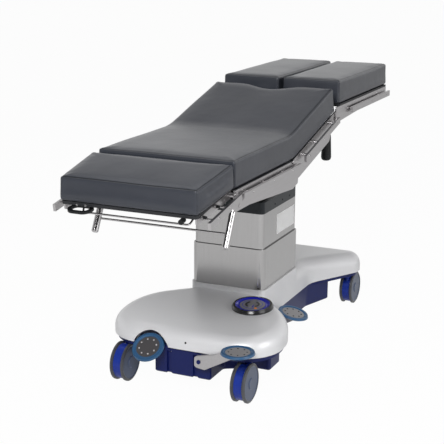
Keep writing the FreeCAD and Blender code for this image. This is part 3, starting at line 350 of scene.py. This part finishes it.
def stations(half, edge, steps, edge_steps=7):
    """Positions from -half to half, close together within edge of both ends."""
    turn = np.linspace(0.0, 1.0, edge_steps + 1)
    rim = edge * (1.0 - np.cos(turn * math.pi / 2))
    middle = np.linspace(-half + edge, half - edge, steps + 1)
    return np.concatenate([-half + rim[:-1], middle, (half - rim[:-1])[::-1]])


def block_grid(xs, ys, zs):
    """Closed grid over the six sides of a box with the given positions along each axis.

    Each side is a grid of two of the position lists at an end of the third. Points that sides share are
    merged, and each quad is wound so that it faces outwards."""
    sides = []
    faces = []
    offset = 0
    axes = (xs, ys, zs)
    for axis in range(3):
        first, second = (axis + 1) % 3, (axis + 2) % 3
        a, b = np.meshgrid(axes[first], axes[second], indexing="ij")
        index = np.arange(a.size).reshape(a.shape)
        quads = np.stack([index[:-1, :-1], index[1:, :-1], index[1:, 1:], index[:-1, 1:]], -1).reshape(-1, 4)
        for end in (0, -1):
            side = np.empty((a.size, 3))
            side[:, axis] = axes[axis][end]
            side[:, first] = a.ravel()
            side[:, second] = b.ravel()
            sides.append(side)
            faces.append((quads if end else quads[:, ::-1]) + offset)
            offset += a.size
    points = np.concatenate(sides)
    quads = np.concatenate(faces)
    keys = np.round(points * 1e6).astype(np.int64)
    _, first_seen, back = np.unique(keys, axis=0, return_index=True, return_inverse=True)
    return points[first_seen], back.ravel()[quads]


def bell(value, middle, width):
    """A bell curve of height one around a middle."""
    return np.exp(-((value - middle) / width) ** 2)


def cushion_form(size, sizes, steps=None):
    """Crowned block, centred in X and Y with its foot at zero; gives points, faces and the seam share.

    A point of the box is pulled to the core box, which is smaller by the corner radius, and set back at that
    radius along the line between them; that rounds the edges. The radius grows by a bell curve where the line
    rises at about 38 degrees, which is the welt, and shrinks at about 64, which is the sewn groove. The
    upright corners carry such a groove where the line lies on the diagonal. The top then rises by a cosine
    arch in X and Y, and the sides swell by a parabola in Z that ends at the corners."""
    half = np.array([size[0] / 2, size[1] / 2, size[2] / 2])
    corner = sizes.pad_corner
    count = steps or sizes.grid_steps
    across = max(8, int(count * half[1] / max(half[0], half[1])))
    along = max(8, int(count * half[0] / max(half[0], half[1])))
    points, faces = block_grid(stations(half[0], corner, along, 9), stations(half[1], corner, across, 9),
                               stations(half[2], corner, 10, 9))
    core = np.clip(points, -(half - corner), half - corner)
    away = points - core
    reach = np.maximum(np.linalg.norm(away, axis=1, keepdims=True), 1e-9)
    way = away / reach
    lean = np.abs(way[:, 2])
    upper = (points[:, 2] > 0) & (lean > 0.05) & (lean < 0.9999)
    welt = bell(lean, 0.62, 0.16) * upper
    groove = bell(lean, 0.90, 0.075) * upper
    diagonal = np.abs(np.abs(way[:, 0]) - np.abs(way[:, 1]))
    upright = bell(diagonal, 0.0, 0.16) * (lean < 0.35) * (np.abs(way[:, 0]) > 0.3)
    radius = corner + sizes.welt * (welt - 1.1 * groove - 0.7 * upright)
    shaped = core + way * radius[:, None]
    arch = np.cos(shaped[:, 0] / half[0] * math.pi / 2.15) * np.cos(shaped[:, 1] / half[1] * math.pi / 2.15)
    level = (shaped[:, 2] + half[2]) / size[2]
    shaped[:, 2] += sizes.pad_crown * np.clip(arch, 0, 1) ** 0.7 * np.clip(level, 0, 1) ** 2
    swell = sizes.pad_bulge * 4 * level * (1 - level)
    for axis in (0, 1):
        other = 1 - axis
        ends = np.clip(1 - (shaped[:, other] / half[other]) ** 4, 0, 1)
        outer = np.abs(shaped[:, axis]) > half[axis] * 0.9
        shaped[:, axis] += np.sign(shaped[:, axis]) * swell * ends * outer
    shaped[:, 2] += half[2]
    return shaped, faces, np.maximum(groove, 0.8 * upright)


def swollen(points, faces, cap):
    """A cushion's points after its cover is blown up by pressure while its foot rests flat.

    The form is run as cloth for a few frames with no gravity; the foot is pinned, and no point moves further
    than the cap: each move is scaled by cap / (cap + its length)."""
    mesh = bpy.data.meshes.new("cover")
    mesh.from_pydata(points.tolist(), [], faces.tolist())
    mesh.update()
    cover = bpy.data.objects.new("cover", mesh)
    scene = bpy.context.scene
    scene.collection.objects.link(cover)
    foot = cover.vertex_groups.new(name="foot")
    foot.add(np.flatnonzero(points[:, 2] < PINNED).tolist(), 1.0, "REPLACE")
    cloth = cover.modifiers.new("pressure", "CLOTH")
    cloth.settings.quality = 6
    cloth.settings.mass = 0.4
    cloth.settings.use_pressure = True
    cloth.settings.uniform_pressure_force = 4.0
    cloth.settings.vertex_group_mass = "foot"
    cloth.settings.effector_weights.gravity = 0.0
    cloth.point_cache.frame_start = 1
    cloth.point_cache.frame_end = CLOTH_FRAMES
    for number in range(1, CLOTH_FRAMES + 1):
        scene.frame_set(number)
    blown = cover.evaluated_get(bpy.context.evaluated_depsgraph_get()).data
    moved = np.empty(len(points) * 3)
    blown.vertices.foreach_get("co", moved)
    move = moved.reshape(-1, 3) - points
    reach = np.linalg.norm(move, axis=1, keepdims=True)
    bpy.data.objects.remove(cover)
    bpy.data.meshes.remove(mesh)
    scene.frame_set(1)
    return points + move * cap / (cap + reach)


def ripple(points, height, scale):
    """Slow unevenness of a filled cushion: a sum of three crossed sine waves along its upper side."""
    x, y, z = points.T
    wave = (np.sin(x * scale + 1.3) * np.sin(y * scale * 1.4 + 0.4)
            + 0.6 * np.sin(x * scale * 2.3 - y * scale * 1.7)
            + 0.4 * np.sin(y * scale * 3.1 + x * scale * 0.6 + 2.0))
    points[:, 2] += wave * height * (z > z.max() * 0.6)
    return points


def turned(points, pivot, degrees):
    """Points turned about the Y axis through a pivot; positive lifts the head end."""
    turn = np.array(Matrix.Rotation(math.radians(degrees), 3, "Y"))
    return points @ turn.T + np.array(pivot)


def leaned(points, size, lean, taper):
    """A cushion whose ends lean back by a slope and whose width changes evenly along it by a share."""
    moved = points.copy()
    moved[:, 0] += points[:, 2] * lean
    moved[:, 1] *= 1.0 + taper * points[:, 0] / size[0]
    return moved


def make_cushion(name, size, centre, pivot, tilt, sizes, material, body, nodes, lean=0.0, taper=0.0):
    """A padded piece in a hinge's frame: centre is the middle of its foot there."""
    points, faces, seam = cushion_form(size, sizes)
    points = ripple(swollen(points, faces, sizes.pad_swell), 0.0005, 11.0)
    if lean:
        points = leaned(points, size, lean, taper)
    points = turned(points + np.array(centre), pivot, tilt)
    piece = new_piece(name, points, faces, material, seam=seam)
    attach(piece, body)
    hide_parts(*nodes)
    return piece


def disc_stack(centre, axis, profile, steps=20):
    """Points, sides and end caps of a turned form: profile lists (radius, height) from its foot to its top.

    Ring k is centre + axis * height + radius * (cos, sin) in the plane square to the axis. A flat cap closes
    each end."""
    axis = np.array(axis, float) / np.linalg.norm(axis)
    side = np.cross(axis, [0.0, 0.0, 1.0] if abs(axis[2]) < 0.9 else [1.0, 0.0, 0.0])
    side /= np.linalg.norm(side)
    other = np.cross(axis, side)
    angle = np.linspace(0, 2 * math.pi, steps, endpoint=False)
    ring = np.cos(angle)[:, None] * side + np.sin(angle)[:, None] * other
    radii = np.array([p[0] for p in profile])
    heights = np.array([p[1] for p in profile])
    rows = len(profile)
    points = np.array(centre) + heights[:, None, None] * axis + radii[:, None, None] * ring[None]
    points = points.reshape(-1, 3)
    index = np.arange(rows * steps).reshape(rows, steps)
    after = np.roll(index, -1, axis=1)
    quads = np.stack([index[:-1], after[:-1], after[1:], index[1:]], -1).reshape(-1, 4)
    low = np.array(centre) + axis * heights[0]
    high = np.array(centre) + axis * heights[-1]
    points = np.concatenate([points, [low, high]])
    foot = rows * steps
    caps = np.concatenate([
        np.stack([np.full(steps, foot), after[0], index[0]], -1),
        np.stack([np.full(steps, foot + 1), index[-1], after[-1]], -1)])
    return points, quads, caps


def turned_pieces(name, forms, material, body):
    """One object from several turned forms."""
    points = []
    faces = []
    offset = 0
    for form in forms:
        p, quads, caps = form
        points.append(p)
        faces += (quads + offset).tolist() + (caps + offset).tolist()
        offset += len(p)
    mesh = bpy.data.meshes.new(name)
    mesh.from_pydata(np.concatenate(points).tolist(), [], faces)
    mesh.update()
    mesh.polygons.foreach_set("use_smooth", [False] * len(mesh.polygons))
    mesh.materials.append(material)
    piece = bpy.data.objects.new(name, mesh)
    bpy.context.scene.collection.objects.link(piece)
    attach(piece, body)
    return piece


# --------------------------------------------------------------- operators


class TABLE_OT_mattress(Operator):
    """Mattress over the back and seat sections, bent at the back hinge and cut out at its end"""
    bl_idname = "table.mattress"
    bl_label = "Mattress"

    def execute(self, context):
        sizes = context.scene.table_sizes
        hinge = joint_point("back_fold")
        near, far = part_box("back_pad")
        tilt = math.atan2(JOINTS["table_roll"]["axis"][2], JOINTS["table_roll"]["axis"][0])
        foot = near.z - hinge.z
        height = far.z - near.z
        back_run = hinge.x - near.x
        leg = joint_point("leg_fold_left")
        end_gap = 0.006
        seat_run = (leg.x - hinge.x) * math.cos(tilt) + (leg.z - hinge.z) * math.sin(tilt) - end_gap
        width = far.y - near.y
        length = back_run + seat_run
        points, faces, seam = cushion_form((length, width, height), sizes, steps=130)
        points = ripple(swollen(points, faces, sizes.pad_swell), 0.0008, 9.0)
        # The seat's foam gets thicker towards its end, evenly over the last 0.45 m.
        rise_run = 0.45
        rise = np.clip((points[:, 0] - length / 2 + rise_run) / rise_run, 0, 1)
        points[:, 2] *= 1.0 + sizes.seat_rise / height * rise
        # The cut-out is a cosine bay across the end face; it grows from nothing over the last 0.16 m.
        fade_run = 0.16
        along = points[:, 0] + length / 2
        bay = 0.5 + 0.5 * np.cos(np.clip(points[:, 1] / sizes.notch_width, -1, 1) * math.pi)
        fade = np.clip((along - (length - fade_run)) / fade_run, 0, 1)
        along = along - sizes.notch_depth * bay * fade ** 1.5
        # The length is laid along a line, an arc and a line; height is measured square to that path.
        radius = sizes.bend_radius
        tangent = radius * math.tan(tilt / 2)
        first = back_run - tangent
        turn = np.clip((along - first) / (2 * tangent), 0, 1) * tilt
        straight = np.minimum(along, first)
        beyond = np.maximum(along - first - 2 * tangent, 0)
        x = straight + radius * np.sin(turn) + beyond * math.cos(tilt)
        z = radius * (1 - np.cos(turn)) + beyond * math.sin(tilt)
        up = points[:, 2]
        x = x - up * np.sin(turn) + near.x
        z = z + up * np.cos(turn) + hinge.z + foot
        # The foot line turns at the hinge, so the path is moved to where its two lines would meet.
        shift = foot * math.tan(tilt / 2)
        x = np.where(along > first + tangent, x - shift, x)
        bent = np.stack([x, points[:, 1], z], -1)
        fabric = bpy.data.materials["polyurethane coated fabric"]
        piece = new_piece("mattress", bent, faces, fabric, seam=seam)
        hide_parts("back_pad", "seat_pad")
        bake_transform(piece)
        return {"FINISHED"}


class TABLE_OT_head_cushion(Operator):
    """Cushion of the head section"""
    bl_idname = "table.head_cushion"
    bl_label = "Head Cushion"

    def execute(self, context):
        sizes = context.scene.table_sizes
        pivot = joint_point("head_fold")
        fabric = bpy.data.materials["polyurethane coated fabric"]
        make_cushion("head_cushion", HEAD_CUSHION, HEAD_CUSHION_FOOT, pivot, -HEAD_TILT, sizes, fabric,
                     "head", ["head_pad"], lean=0.15, taper=0.07)
        return {"FINISHED"}


class TABLE_OT_leg_cushions(Operator):
    """Cushions of the two leg sections"""
    bl_idname = "table.leg_cushions"
    bl_label = "Leg Cushions"

    def execute(self, context):
        sizes = context.scene.table_sizes
        fabric = bpy.data.materials["polyurethane coated fabric"]
        for side in ("left", "right"):
            low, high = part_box("leg_pad_" + side)
            size = high - low
            middle = ((low.x + high.x) / 2, (low.y + high.y) / 2, low.z)
            make_cushion("leg_cushion_" + side, size, middle, (0, 0, 0), 0, sizes, fabric, "leg_" + side,
                         ["leg_pad_" + side])
        return {"FINISHED"}


class TABLE_OT_finishes(Operator):
    """Materials of every rigid piece"""
    bl_idname = "table.finishes"
    bl_label = "Finishes"

    def execute(self, context):
        c = context.scene.table_colours
        coated_fabric(tuple(c.upholstery))
        upright = (420.0, 420.0, 6.0)
        lengthwise = (6.0, 420.0, 420.0)
        finish(["base_cover"], silver_lacquer(tuple(c.lacquer)))
        finish(["chassis", "lower_housing"], moulded_plastic("navy moulding", tuple(c.navy), 0.36))
        finish(["column_lower_shell", "column_upper_shell"],
               brushed_metal("brushed stainless sheet", tuple(c.steel), 0.19, upright))
        plates = [n for n in NODES if "_side_" in n]
        rails = [n for n in NODES if "_rail_" in n]
        finish(plates + rails, brushed_metal("ground stainless bar", tuple(c.plate), 0.30, lengthwise))
        finish(["release_handle", "release_bail", "leg_hinge_shaft", "tilt_cross", "column_post"],
               brushed_metal("turned stainless", tuple(c.plate), 0.24, (90.0, 90.0, 90.0)))
        finish([n for n in NODES if n.endswith("pedal_arm")],
               brushed_metal("cast aluminium", tuple(c.plate), 0.42, (160.0, 160.0, 160.0)))
        finish(["column_cap", "tilt_yoke", "seat_carrier"],
               moulded_plastic("anthracite coating", tuple(c.cap), 0.38))
        finish([n for n in NODES if "panel" in n], moulded_plastic("phenolic panel", tuple(c.panel), 0.5))
        finish(["release_paddle", "head_knob", "leg_grip_left", "leg_grip_right", "column_guide"],
               moulded_plastic("black nylon", tuple(c.black), 0.4))
        finish([n for n in NODES if n.startswith("caster") and n.endswith("body")],
               moulded_plastic("blue caster moulding", tuple(c.caster), 0.32))
        for name in [n for n in NODES if n.startswith("caster") and n.endswith("wheels")]:
            axle = joint_point("roll_" + name[len("caster_"):-len("_wheels")])
            finish([name], ringed("caster wheel " + name, tuple(axle), (math.radians(-90), 0, 0),
                                  [(0.0645, tuple(c.disc)), (0.08, tuple(c.tread))], 0.30))
        for name, (about_x, about_y) in PAD_TURNS.items():
            low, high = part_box(name + "_pedal_pad")
            turn = (math.radians(about_x), math.radians(about_y), 0)
            # The leaning pad's face takes a darker copy of the pads' grey, as painted shade.
            plate = tuple(c.shaded_brake_plate if name == "brake" else c.tread_plate)
            finish([name + "_pedal_pad"], ringed("foot pad " + name, tuple((low + high) / 2), turn,
                                                 [(0.046, plate), (0.07, tuple(c.skirt))], 0.30))
        dial = JOINTS["dial_turn"]
        lean = math.atan2(dial["axis"][0], dial["axis"][2])
        finish(["dial_ring"], ringed("dial ring", tuple(dial["pos_m"]), (0, lean, 0),
                                     [(0.068, tuple(c.dial_dish)), (0.09, tuple(c.black))], 0.2))
        finish(["dial_knob"], ringed("dial disc", tuple(dial["pos_m"]), (0, lean, 0),
                                     [(0.038, tuple(c.dial_face)), (0.041, tuple(c.dial_dish)),
                                      (0.06, tuple(c.dial_face))], 0.4))
        return {"FINISHED"}


class TABLE_OT_screws(Operator):
    """Screw heads along the accessory rails"""
    bl_idname = "table.screws"
    bl_label = "Rail Screws"

    def execute(self, context):
        sizes = context.scene.table_sizes
        radius, rise = sizes.screw_radius, sizes.screw_rise
        plate = tuple(context.scene.table_colours.plate)
        metal = brushed_metal("screw steel", plate, 0.3, (200.0, 200.0, 200.0))
        profile = [(radius, 0), (radius, rise + 0.0006), (radius * 0.75, rise + 0.001),
                   (radius * 0.45, rise + 0.001), (radius * 0.4, rise - 0.0004)]
        # Each rail's screws, by their shares of its length.
        for body, names, shares in (("head", "head_rail_", (0.29, 0.62)),
                                    ("back", "back_rail_", (0.15, 0.5, 0.85)),
                                    ("seat", "seat_rail_", (0.1, 0.5, 0.9)),
                                    ("leg", "leg_rail_", (0.1, 0.5, 0.9))):
            for side, sign in (("left", 1), ("right", -1)):
                low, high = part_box(names + side)
                face = high.y if sign > 0 else low.y
                forms = []
                for share in shares:
                    x = low.x + (high.x - low.x) * share
                    middle = (high.z + low.z) / 2
                    if body in ("head", "seat"):
                        lean = math.tan(math.radians(HEAD_TILT if body == "head" else SEAT_TILT))
                        middle = low.z + RAIL_HALF + (x - low.x) * lean
                    forms.append(disc_stack((x, face - sign * 0.001, middle), (0, sign, 0), profile))
                owner = "leg_" + side if body == "leg" else body
                turned_pieces("screws_%s_%s" % (body, side), forms, metal, owner)
        return {"FINISHED"}


class TABLE_OT_pad_studs(Operator):
    """Rings of grip studs on the three foot pads"""
    bl_idname = "table.pad_studs"
    bl_label = "Foot Pad Studs"

    def execute(self, context):
        sizes, colours = context.scene.table_sizes, context.scene.table_colours
        pale = moulded_plastic("pale rubber", tuple(colours.plate), 0.5)
        dark = moulded_plastic("dark rubber", tuple(colours.panel), 0.5)
        radius = sizes.stud_radius
        profile = [(radius, -0.0008), (radius, 0.0006), (radius * 0.6, 0.0011)]
        for name, (about_x, about_y) in PAD_TURNS.items():
            low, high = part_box(name + "_pedal_pad")
            turn = (Matrix.Rotation(math.radians(about_y), 3, "Y")
                    @ Matrix.Rotation(math.radians(about_x), 3, "X"))
            middle = (low + high) / 2 + turn @ Vector((0, 0, 0.0045))
            forms = []
            for step in range(8):
                angle = math.radians(45 * step + 22.5)
                spot = Vector((math.cos(angle), math.sin(angle), 0)) * sizes.stud_ring
                forms.append(disc_stack(middle + turn @ spot, turn @ Vector((0, 0, 1)), profile, 12))
            turned_pieces("studs_" + name, forms, pale if name == "brake" else dark, name + "_pedal")
        return {"FINISHED"}


class TABLE_OT_dial_marks(Operator):
    """Bar, arcs and lamp on the disc of the selector dial"""
    bl_idname = "table.dial_marks"
    bl_label = "Dial Marks"

    def execute(self, context):
        sizes, colours = context.scene.table_sizes, context.scene.table_colours
        place, axis = Vector(JOINTS["dial_turn"]["pos_m"]), Vector(JOINTS["dial_turn"]["axis"])
        lean = Matrix.Rotation(math.atan2(axis.x, axis.z), 3, "Y")
        turn = np.array(lean @ Matrix.Rotation(math.radians(14), 3, "Z"))
        face = place + axis * DIAL_FACE
        half = sizes.bar_length / 2
        heights = np.array([-0.0006, 0.0014])
        bar, quads = block_grid(stations(half, 0.004, 4, 3), stations(0.007, 0.003, 2, 3), heights)
        blue = moulded_plastic("blue dial mark", tuple(colours.dial_dish), 0.35)
        self.seat("dial_bar", bar, quads, turn, face, blue)
        # Each arc is a bar bent into polar coordinates: its X becomes the radius and its Y the angle.
        dark = moulded_plastic("dark dial mark", tuple(colours.panel), 0.4)
        for name, start in (("dial_arc_left", 30.0), ("dial_arc_right", 210.0)):
            angles = np.radians(np.linspace(start, start + 120.0, 16))
            grid, quads = block_grid(np.array([0.021, 0.029]), angles, heights * 0.6)
            away, angle, height = grid.T
            arc = np.stack([away * np.cos(angle), away * np.sin(angle), height], -1)
            self.seat(name, arc, quads, turn, face, dark)
        amber = moulded_plastic("amber lens", tuple(colours.lamp), 0.2, 0.02)
        lens = disc_stack(face + Vector((-0.033, -0.026, -0.0026)), axis,
                          [(0.0055, -0.001), (0.0055, 0.0008), (0.004, 0.002), (0.0018, 0.0027)], 14)
        turned_pieces("dial_lamp", [lens], amber, "dial_knob")
        return {"FINISHED"}

    def seat(self, name, points, quads, turn, face, material):
        """Turn a mark to the disc's slope and set it on its face."""
        piece = new_piece(name, points @ turn.T + np.array(face), quads, material, smooth=False)
        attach(piece, "dial_knob")


class TABLE_OT_fittings(Operator):
    """Pins, hinge caps and small screws of the head section and the base"""
    bl_idname = "table.fittings"
    bl_label = "Small Fittings"

    def execute(self, context):
        colours = context.scene.table_colours
        steel = bpy.data.materials["screw steel"]
        black = moulded_plastic("black pin", tuple(colours.black), 0.35)
        screw = [(0.004, -0.001), (0.004, 0.0006), (0.0028, 0.001)]
        collar = [(0.009, -0.001), (0.009, 0.003)]
        pin = [(0.0055, -0.001), (0.0055, 0.012), (0.004, 0.014)]
        low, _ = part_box("head_side_right")
        for side, sign in (("left", 1), ("right", -1)):
            face = sign * -low.y
            spots = [(x, face, z) for x, z in RELEASE_PINS]
            turned_pieces("collars_" + side, [disc_stack(spot, (0, sign, 0), collar) for spot in spots],
                          steel, "head")
            turned_pieces("pins_" + side, [disc_stack(spot, (0, sign, 0), pin) for spot in spots],
                          black, "head")
            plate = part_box("back_side_" + side)
            edge = plate[1].y if sign > 0 else plate[0].y
            turned_pieces("hinge_cap_" + side,
                          [disc_stack((HINGE_CAP[0], edge, HINGE_CAP[1]), (0, sign, 0),
                                      [(0.0085, -0.001), (0.0085, 0.0012), (0.0068, 0.0022)])],
                          steel, "back")
        turned_pieces("panel_screws", [disc_stack(spot, (-0.985, 0, -0.17), screw) for spot in PANEL_SCREWS],
                      steel, "head")
        turned_pieces("cover_screw", [disc_stack(COVER_SCREW, (-0.98, 0, 0.21), screw)],
                      black, "base")
        return {"FINISHED"}


class TABLE_OT_pad_recess(Operator):
    """Lacquered hollow of the cover behind the leaning foot pad"""
    bl_idname = "table.pad_recess"
    bl_label = "Foot Pad Recess"

    def execute(self, context):
        sizes = context.scene.table_sizes
        low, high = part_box("brake_pedal_pad")
        # The upper half of a bowl: rings around an axis along X whose radius shrinks as the root of a cosine.
        angle, depth = np.meshgrid(np.linspace(0.0, math.pi, 29), np.linspace(0.0, 1.0, 15), indexing="ij")
        ring = sizes.recess_radius * np.sqrt(np.clip(np.cos(depth * math.pi / 2), 0.0004, 1.0))
        points = np.stack([RECESS_MOUTH[0] + sizes.recess_depth * np.sin(depth * math.pi / 2),
                           (low.y + high.y) / 2 + ring * np.cos(angle),
                           RECESS_MOUTH[1] + ring * np.sin(angle)], -1)
        index = np.arange(angle.size).reshape(angle.shape)
        quads = np.stack([index[:-1, :-1], index[1:, :-1], index[1:, 1:], index[:-1, 1:]], -1).reshape(-1, 4)
        lacquer = NODES["base_cover"].data.materials[0]
        bowl = new_piece("pad_recess", points.reshape(-1, 3), quads, lacquer)
        wall = bowl.modifiers.new("wall", "SOLIDIFY")
        wall.thickness = 0.0015
        wall.offset = 1.0
        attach(bowl, "base")
        return {"FINISHED"}


class TABLE_OT_label(Operator):
    """Blank white plate on the column's side"""
    bl_idname = "table.label"
    bl_label = "Blank Plate"

    def execute(self, context):
        sizes = context.scene.table_sizes
        low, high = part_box("column_upper_shell")
        x0 = low.x + 0.148
        z1 = high.z - 0.033
        y = low.y
        xs = np.linspace(x0, x0 + sizes.label_width, 2)
        zs = np.linspace(z1 - sizes.label_height, z1, 2)
        points, faces = block_grid(xs, np.array([y - 0.0007, y + 0.0002]), zs)
        material = moulded_plastic("white film", tuple(context.scene.table_colours.paper), 0.45, 0.02)
        plate = new_piece("blank_plate", points, faces, material, smooth=False)
        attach(plate, "lift_lower")
        return {"FINISHED"}


class TABLE_OT_studio(Operator):
    """Pale floor, soft lamps, world and the camera at the photograph's angle"""
    bl_idname = "table.studio"
    bl_label = "Studio"

    def execute(self, context):
        scene = context.scene
        scene.view_settings.view_transform = "Standard"
        points = np.array([[-30, -30, 0], [30, -30, 0], [30, 30, 0], [-30, 30, 0]], float)
        material = bpy.data.materials.new("studio floor")
        material.use_nodes = True
        tree = material.node_tree
        tree.nodes.clear()
        paint = add(tree, "ShaderNodeBsdfDiffuse", {"Color": (0.86, 0.86, 0.86, 1.0)})
        glow = add(tree, "ShaderNodeEmission", {"Color": (1.0, 1.0, 1.0, 1.0), "Strength": 1.0})
        path = add(tree, "ShaderNodeLightPath")
        # Nearly white to the camera and through glass, so that shadows stay faint; in reflections the paint
        # and its shadow show through in part.
        seen_share, mirrored_share = 0.97, 0.45
        white = add(tree, "ShaderNodeMath", {0: clear_rays(tree, path), 1: seen_share}, operation="MULTIPLY")
        shine = add(tree, "ShaderNodeMath", {0: path.outputs["Is Glossy Ray"], 1: mirrored_share},
                    operation="MULTIPLY")
        share = add(tree, "ShaderNodeMath", {0: white.outputs["Value"], 1: shine.outputs["Value"]},
                    operation="MAXIMUM")
        mixed = add(tree, "ShaderNodeMixShader", {0: share.outputs["Value"], 1: paint.outputs["BSDF"],
                                                  2: glow.outputs["Emission"]})
        add(tree, "ShaderNodeOutputMaterial", {"Surface": mixed.outputs["Shader"]})
        floor = new_piece("studio_floor", points, np.array([[0, 1, 2, 3]]), material, smooth=False)

        world = bpy.data.worlds.new("studio")
        world.use_nodes = True
        tree = world.node_tree
        tree.nodes.clear()
        # White to the camera and in reflections near the horizon; dimmer overhead, towards the head end and
        # in the light it sheds.
        path = add(tree, "ShaderNodeLightPath")
        ray = add(tree, "ShaderNodeTexCoord").outputs["Generated"]
        parts = add(tree, "ShaderNodeSeparateXYZ", {"Vector": ray})
        overhead = add(tree, "ShaderNodeMapRange", {"Value": parts.outputs["Z"], "From Min": 0.15,
                                                    "From Max": 0.7, "To Min": 1.0, "To Max": 0.25})
        behind = add(tree, "ShaderNodeMapRange", {"Value": parts.outputs["X"], "From Min": -0.8,
                                                  "From Max": 0.2, "To Min": 0.4, "To Max": 1.0})
        room = add(tree, "ShaderNodeMath", {0: overhead.outputs["Result"], 1: behind.outputs["Result"]},
                   operation="MULTIPLY")
        shed = add(tree, "ShaderNodeMapRange", {"Value": path.outputs["Is Glossy Ray"], "To Min": 0.42,
                                                "To Max": 1.0})
        dim = add(tree, "ShaderNodeMath", {0: room.outputs["Value"], 1: shed.outputs["Result"]},
                  operation="MULTIPLY")
        level = add(tree, "ShaderNodeMath", {0: dim.outputs["Value"], 1: clear_rays(tree, path)},
                    operation="MAXIMUM")
        sky = add(tree, "ShaderNodeBackground", {"Color": (1.0, 1.0, 1.0, 1.0),
                                                 "Strength": level.outputs["Value"]})
        add(tree, "ShaderNodeOutputWorld", {"Surface": sky.outputs["Background"]})
        scene.world = world

        for name, place, aim, size, power in (
                ("lamp_key", (-4.4, -1.0, 3.5), (-0.2, 0, 0.5), 1.8, 185.0),
                ("lamp_top", (0.8, 0.6, 4.4), (0, 0, 0.6), 3.0, 30.0),
                ("lamp_side", (-1.2, -4.6, 2.2), (0, 0, 0.6), 2.4, 60.0)):
            data = bpy.data.lights.new(name, "AREA")
            data.shape = "SQUARE"
            data.size = size
            data.energy = power
            lamp = bpy.data.objects.new(name, data)
            lamp.location = place
            lamp.rotation_euler = (Vector(aim) - Vector(place)).to_track_quat("-Z", "Y").to_euler()
            scene.collection.objects.link(lamp)

        data = bpy.data.cameras.new("photo_camera")
        data.sensor_width = 36.0
        data.lens = PHOTO_FOCAL * data.sensor_width / PHOTO_WIDTH
        data.clip_end = 100.0
        camera = bpy.data.objects.new("photo_camera", data)
        yaw, pitch = math.radians(24.0937), math.radians(14.6978)
        look = Vector((math.cos(yaw) * math.cos(pitch), math.sin(yaw) * math.cos(pitch), -math.sin(pitch)))
        roll = Matrix.Rotation(math.radians(0.384), 4, "Z")
        camera.location = (-4.1361, -1.7311, 1.6901)
        camera.rotation_euler = (look.to_track_quat("-Z", "Y").to_matrix().to_4x4() @ roll).to_euler()
        scene.collection.objects.link(camera)
        scene.camera = camera
        return {"FINISHED"}


class TABLE_PT_panel(Panel):
    """Buttons for each group of pieces, with the sizes and colours"""
    bl_idname = "TABLE_PT_panel"
    bl_label = "Operating Table"
    bl_space_type = "VIEW_3D"
    bl_region_type = "UI"
    bl_category = "Table"

    def draw(self, context):
        column = self.layout.column(align=True)
        for operator in STEPS:
            column.operator(operator.bl_idname)
        for group in (context.scene.table_sizes, context.scene.table_colours):
            for name in group.__annotations__:
                column.prop(group, name)


STEPS = (TABLE_OT_finishes, TABLE_OT_mattress, TABLE_OT_head_cushion, TABLE_OT_leg_cushions, TABLE_OT_screws,
         TABLE_OT_pad_studs, TABLE_OT_dial_marks, TABLE_OT_fittings, TABLE_OT_pad_recess, TABLE_OT_label,
         TABLE_OT_studio)
CLASSES = (TableSizes, TableColours, *STEPS, TABLE_PT_panel)


def register():
    for cls in CLASSES:
        bpy.utils.register_class(cls)
    bpy.types.Scene.table_sizes = PointerProperty(type=TableSizes)
    bpy.types.Scene.table_colours = PointerProperty(type=TableColours)


def unregister():
    del bpy.types.Scene.table_sizes
    del bpy.types.Scene.table_colours
    for cls in reversed(CLASSES):
        bpy.utils.unregister_class(cls)


def main():
    register()
    for operator in STEPS:
        group, name = operator.bl_idname.split(".")
        getattr(getattr(bpy.ops, group), name)()


if __name__ == "__main__":
    main()
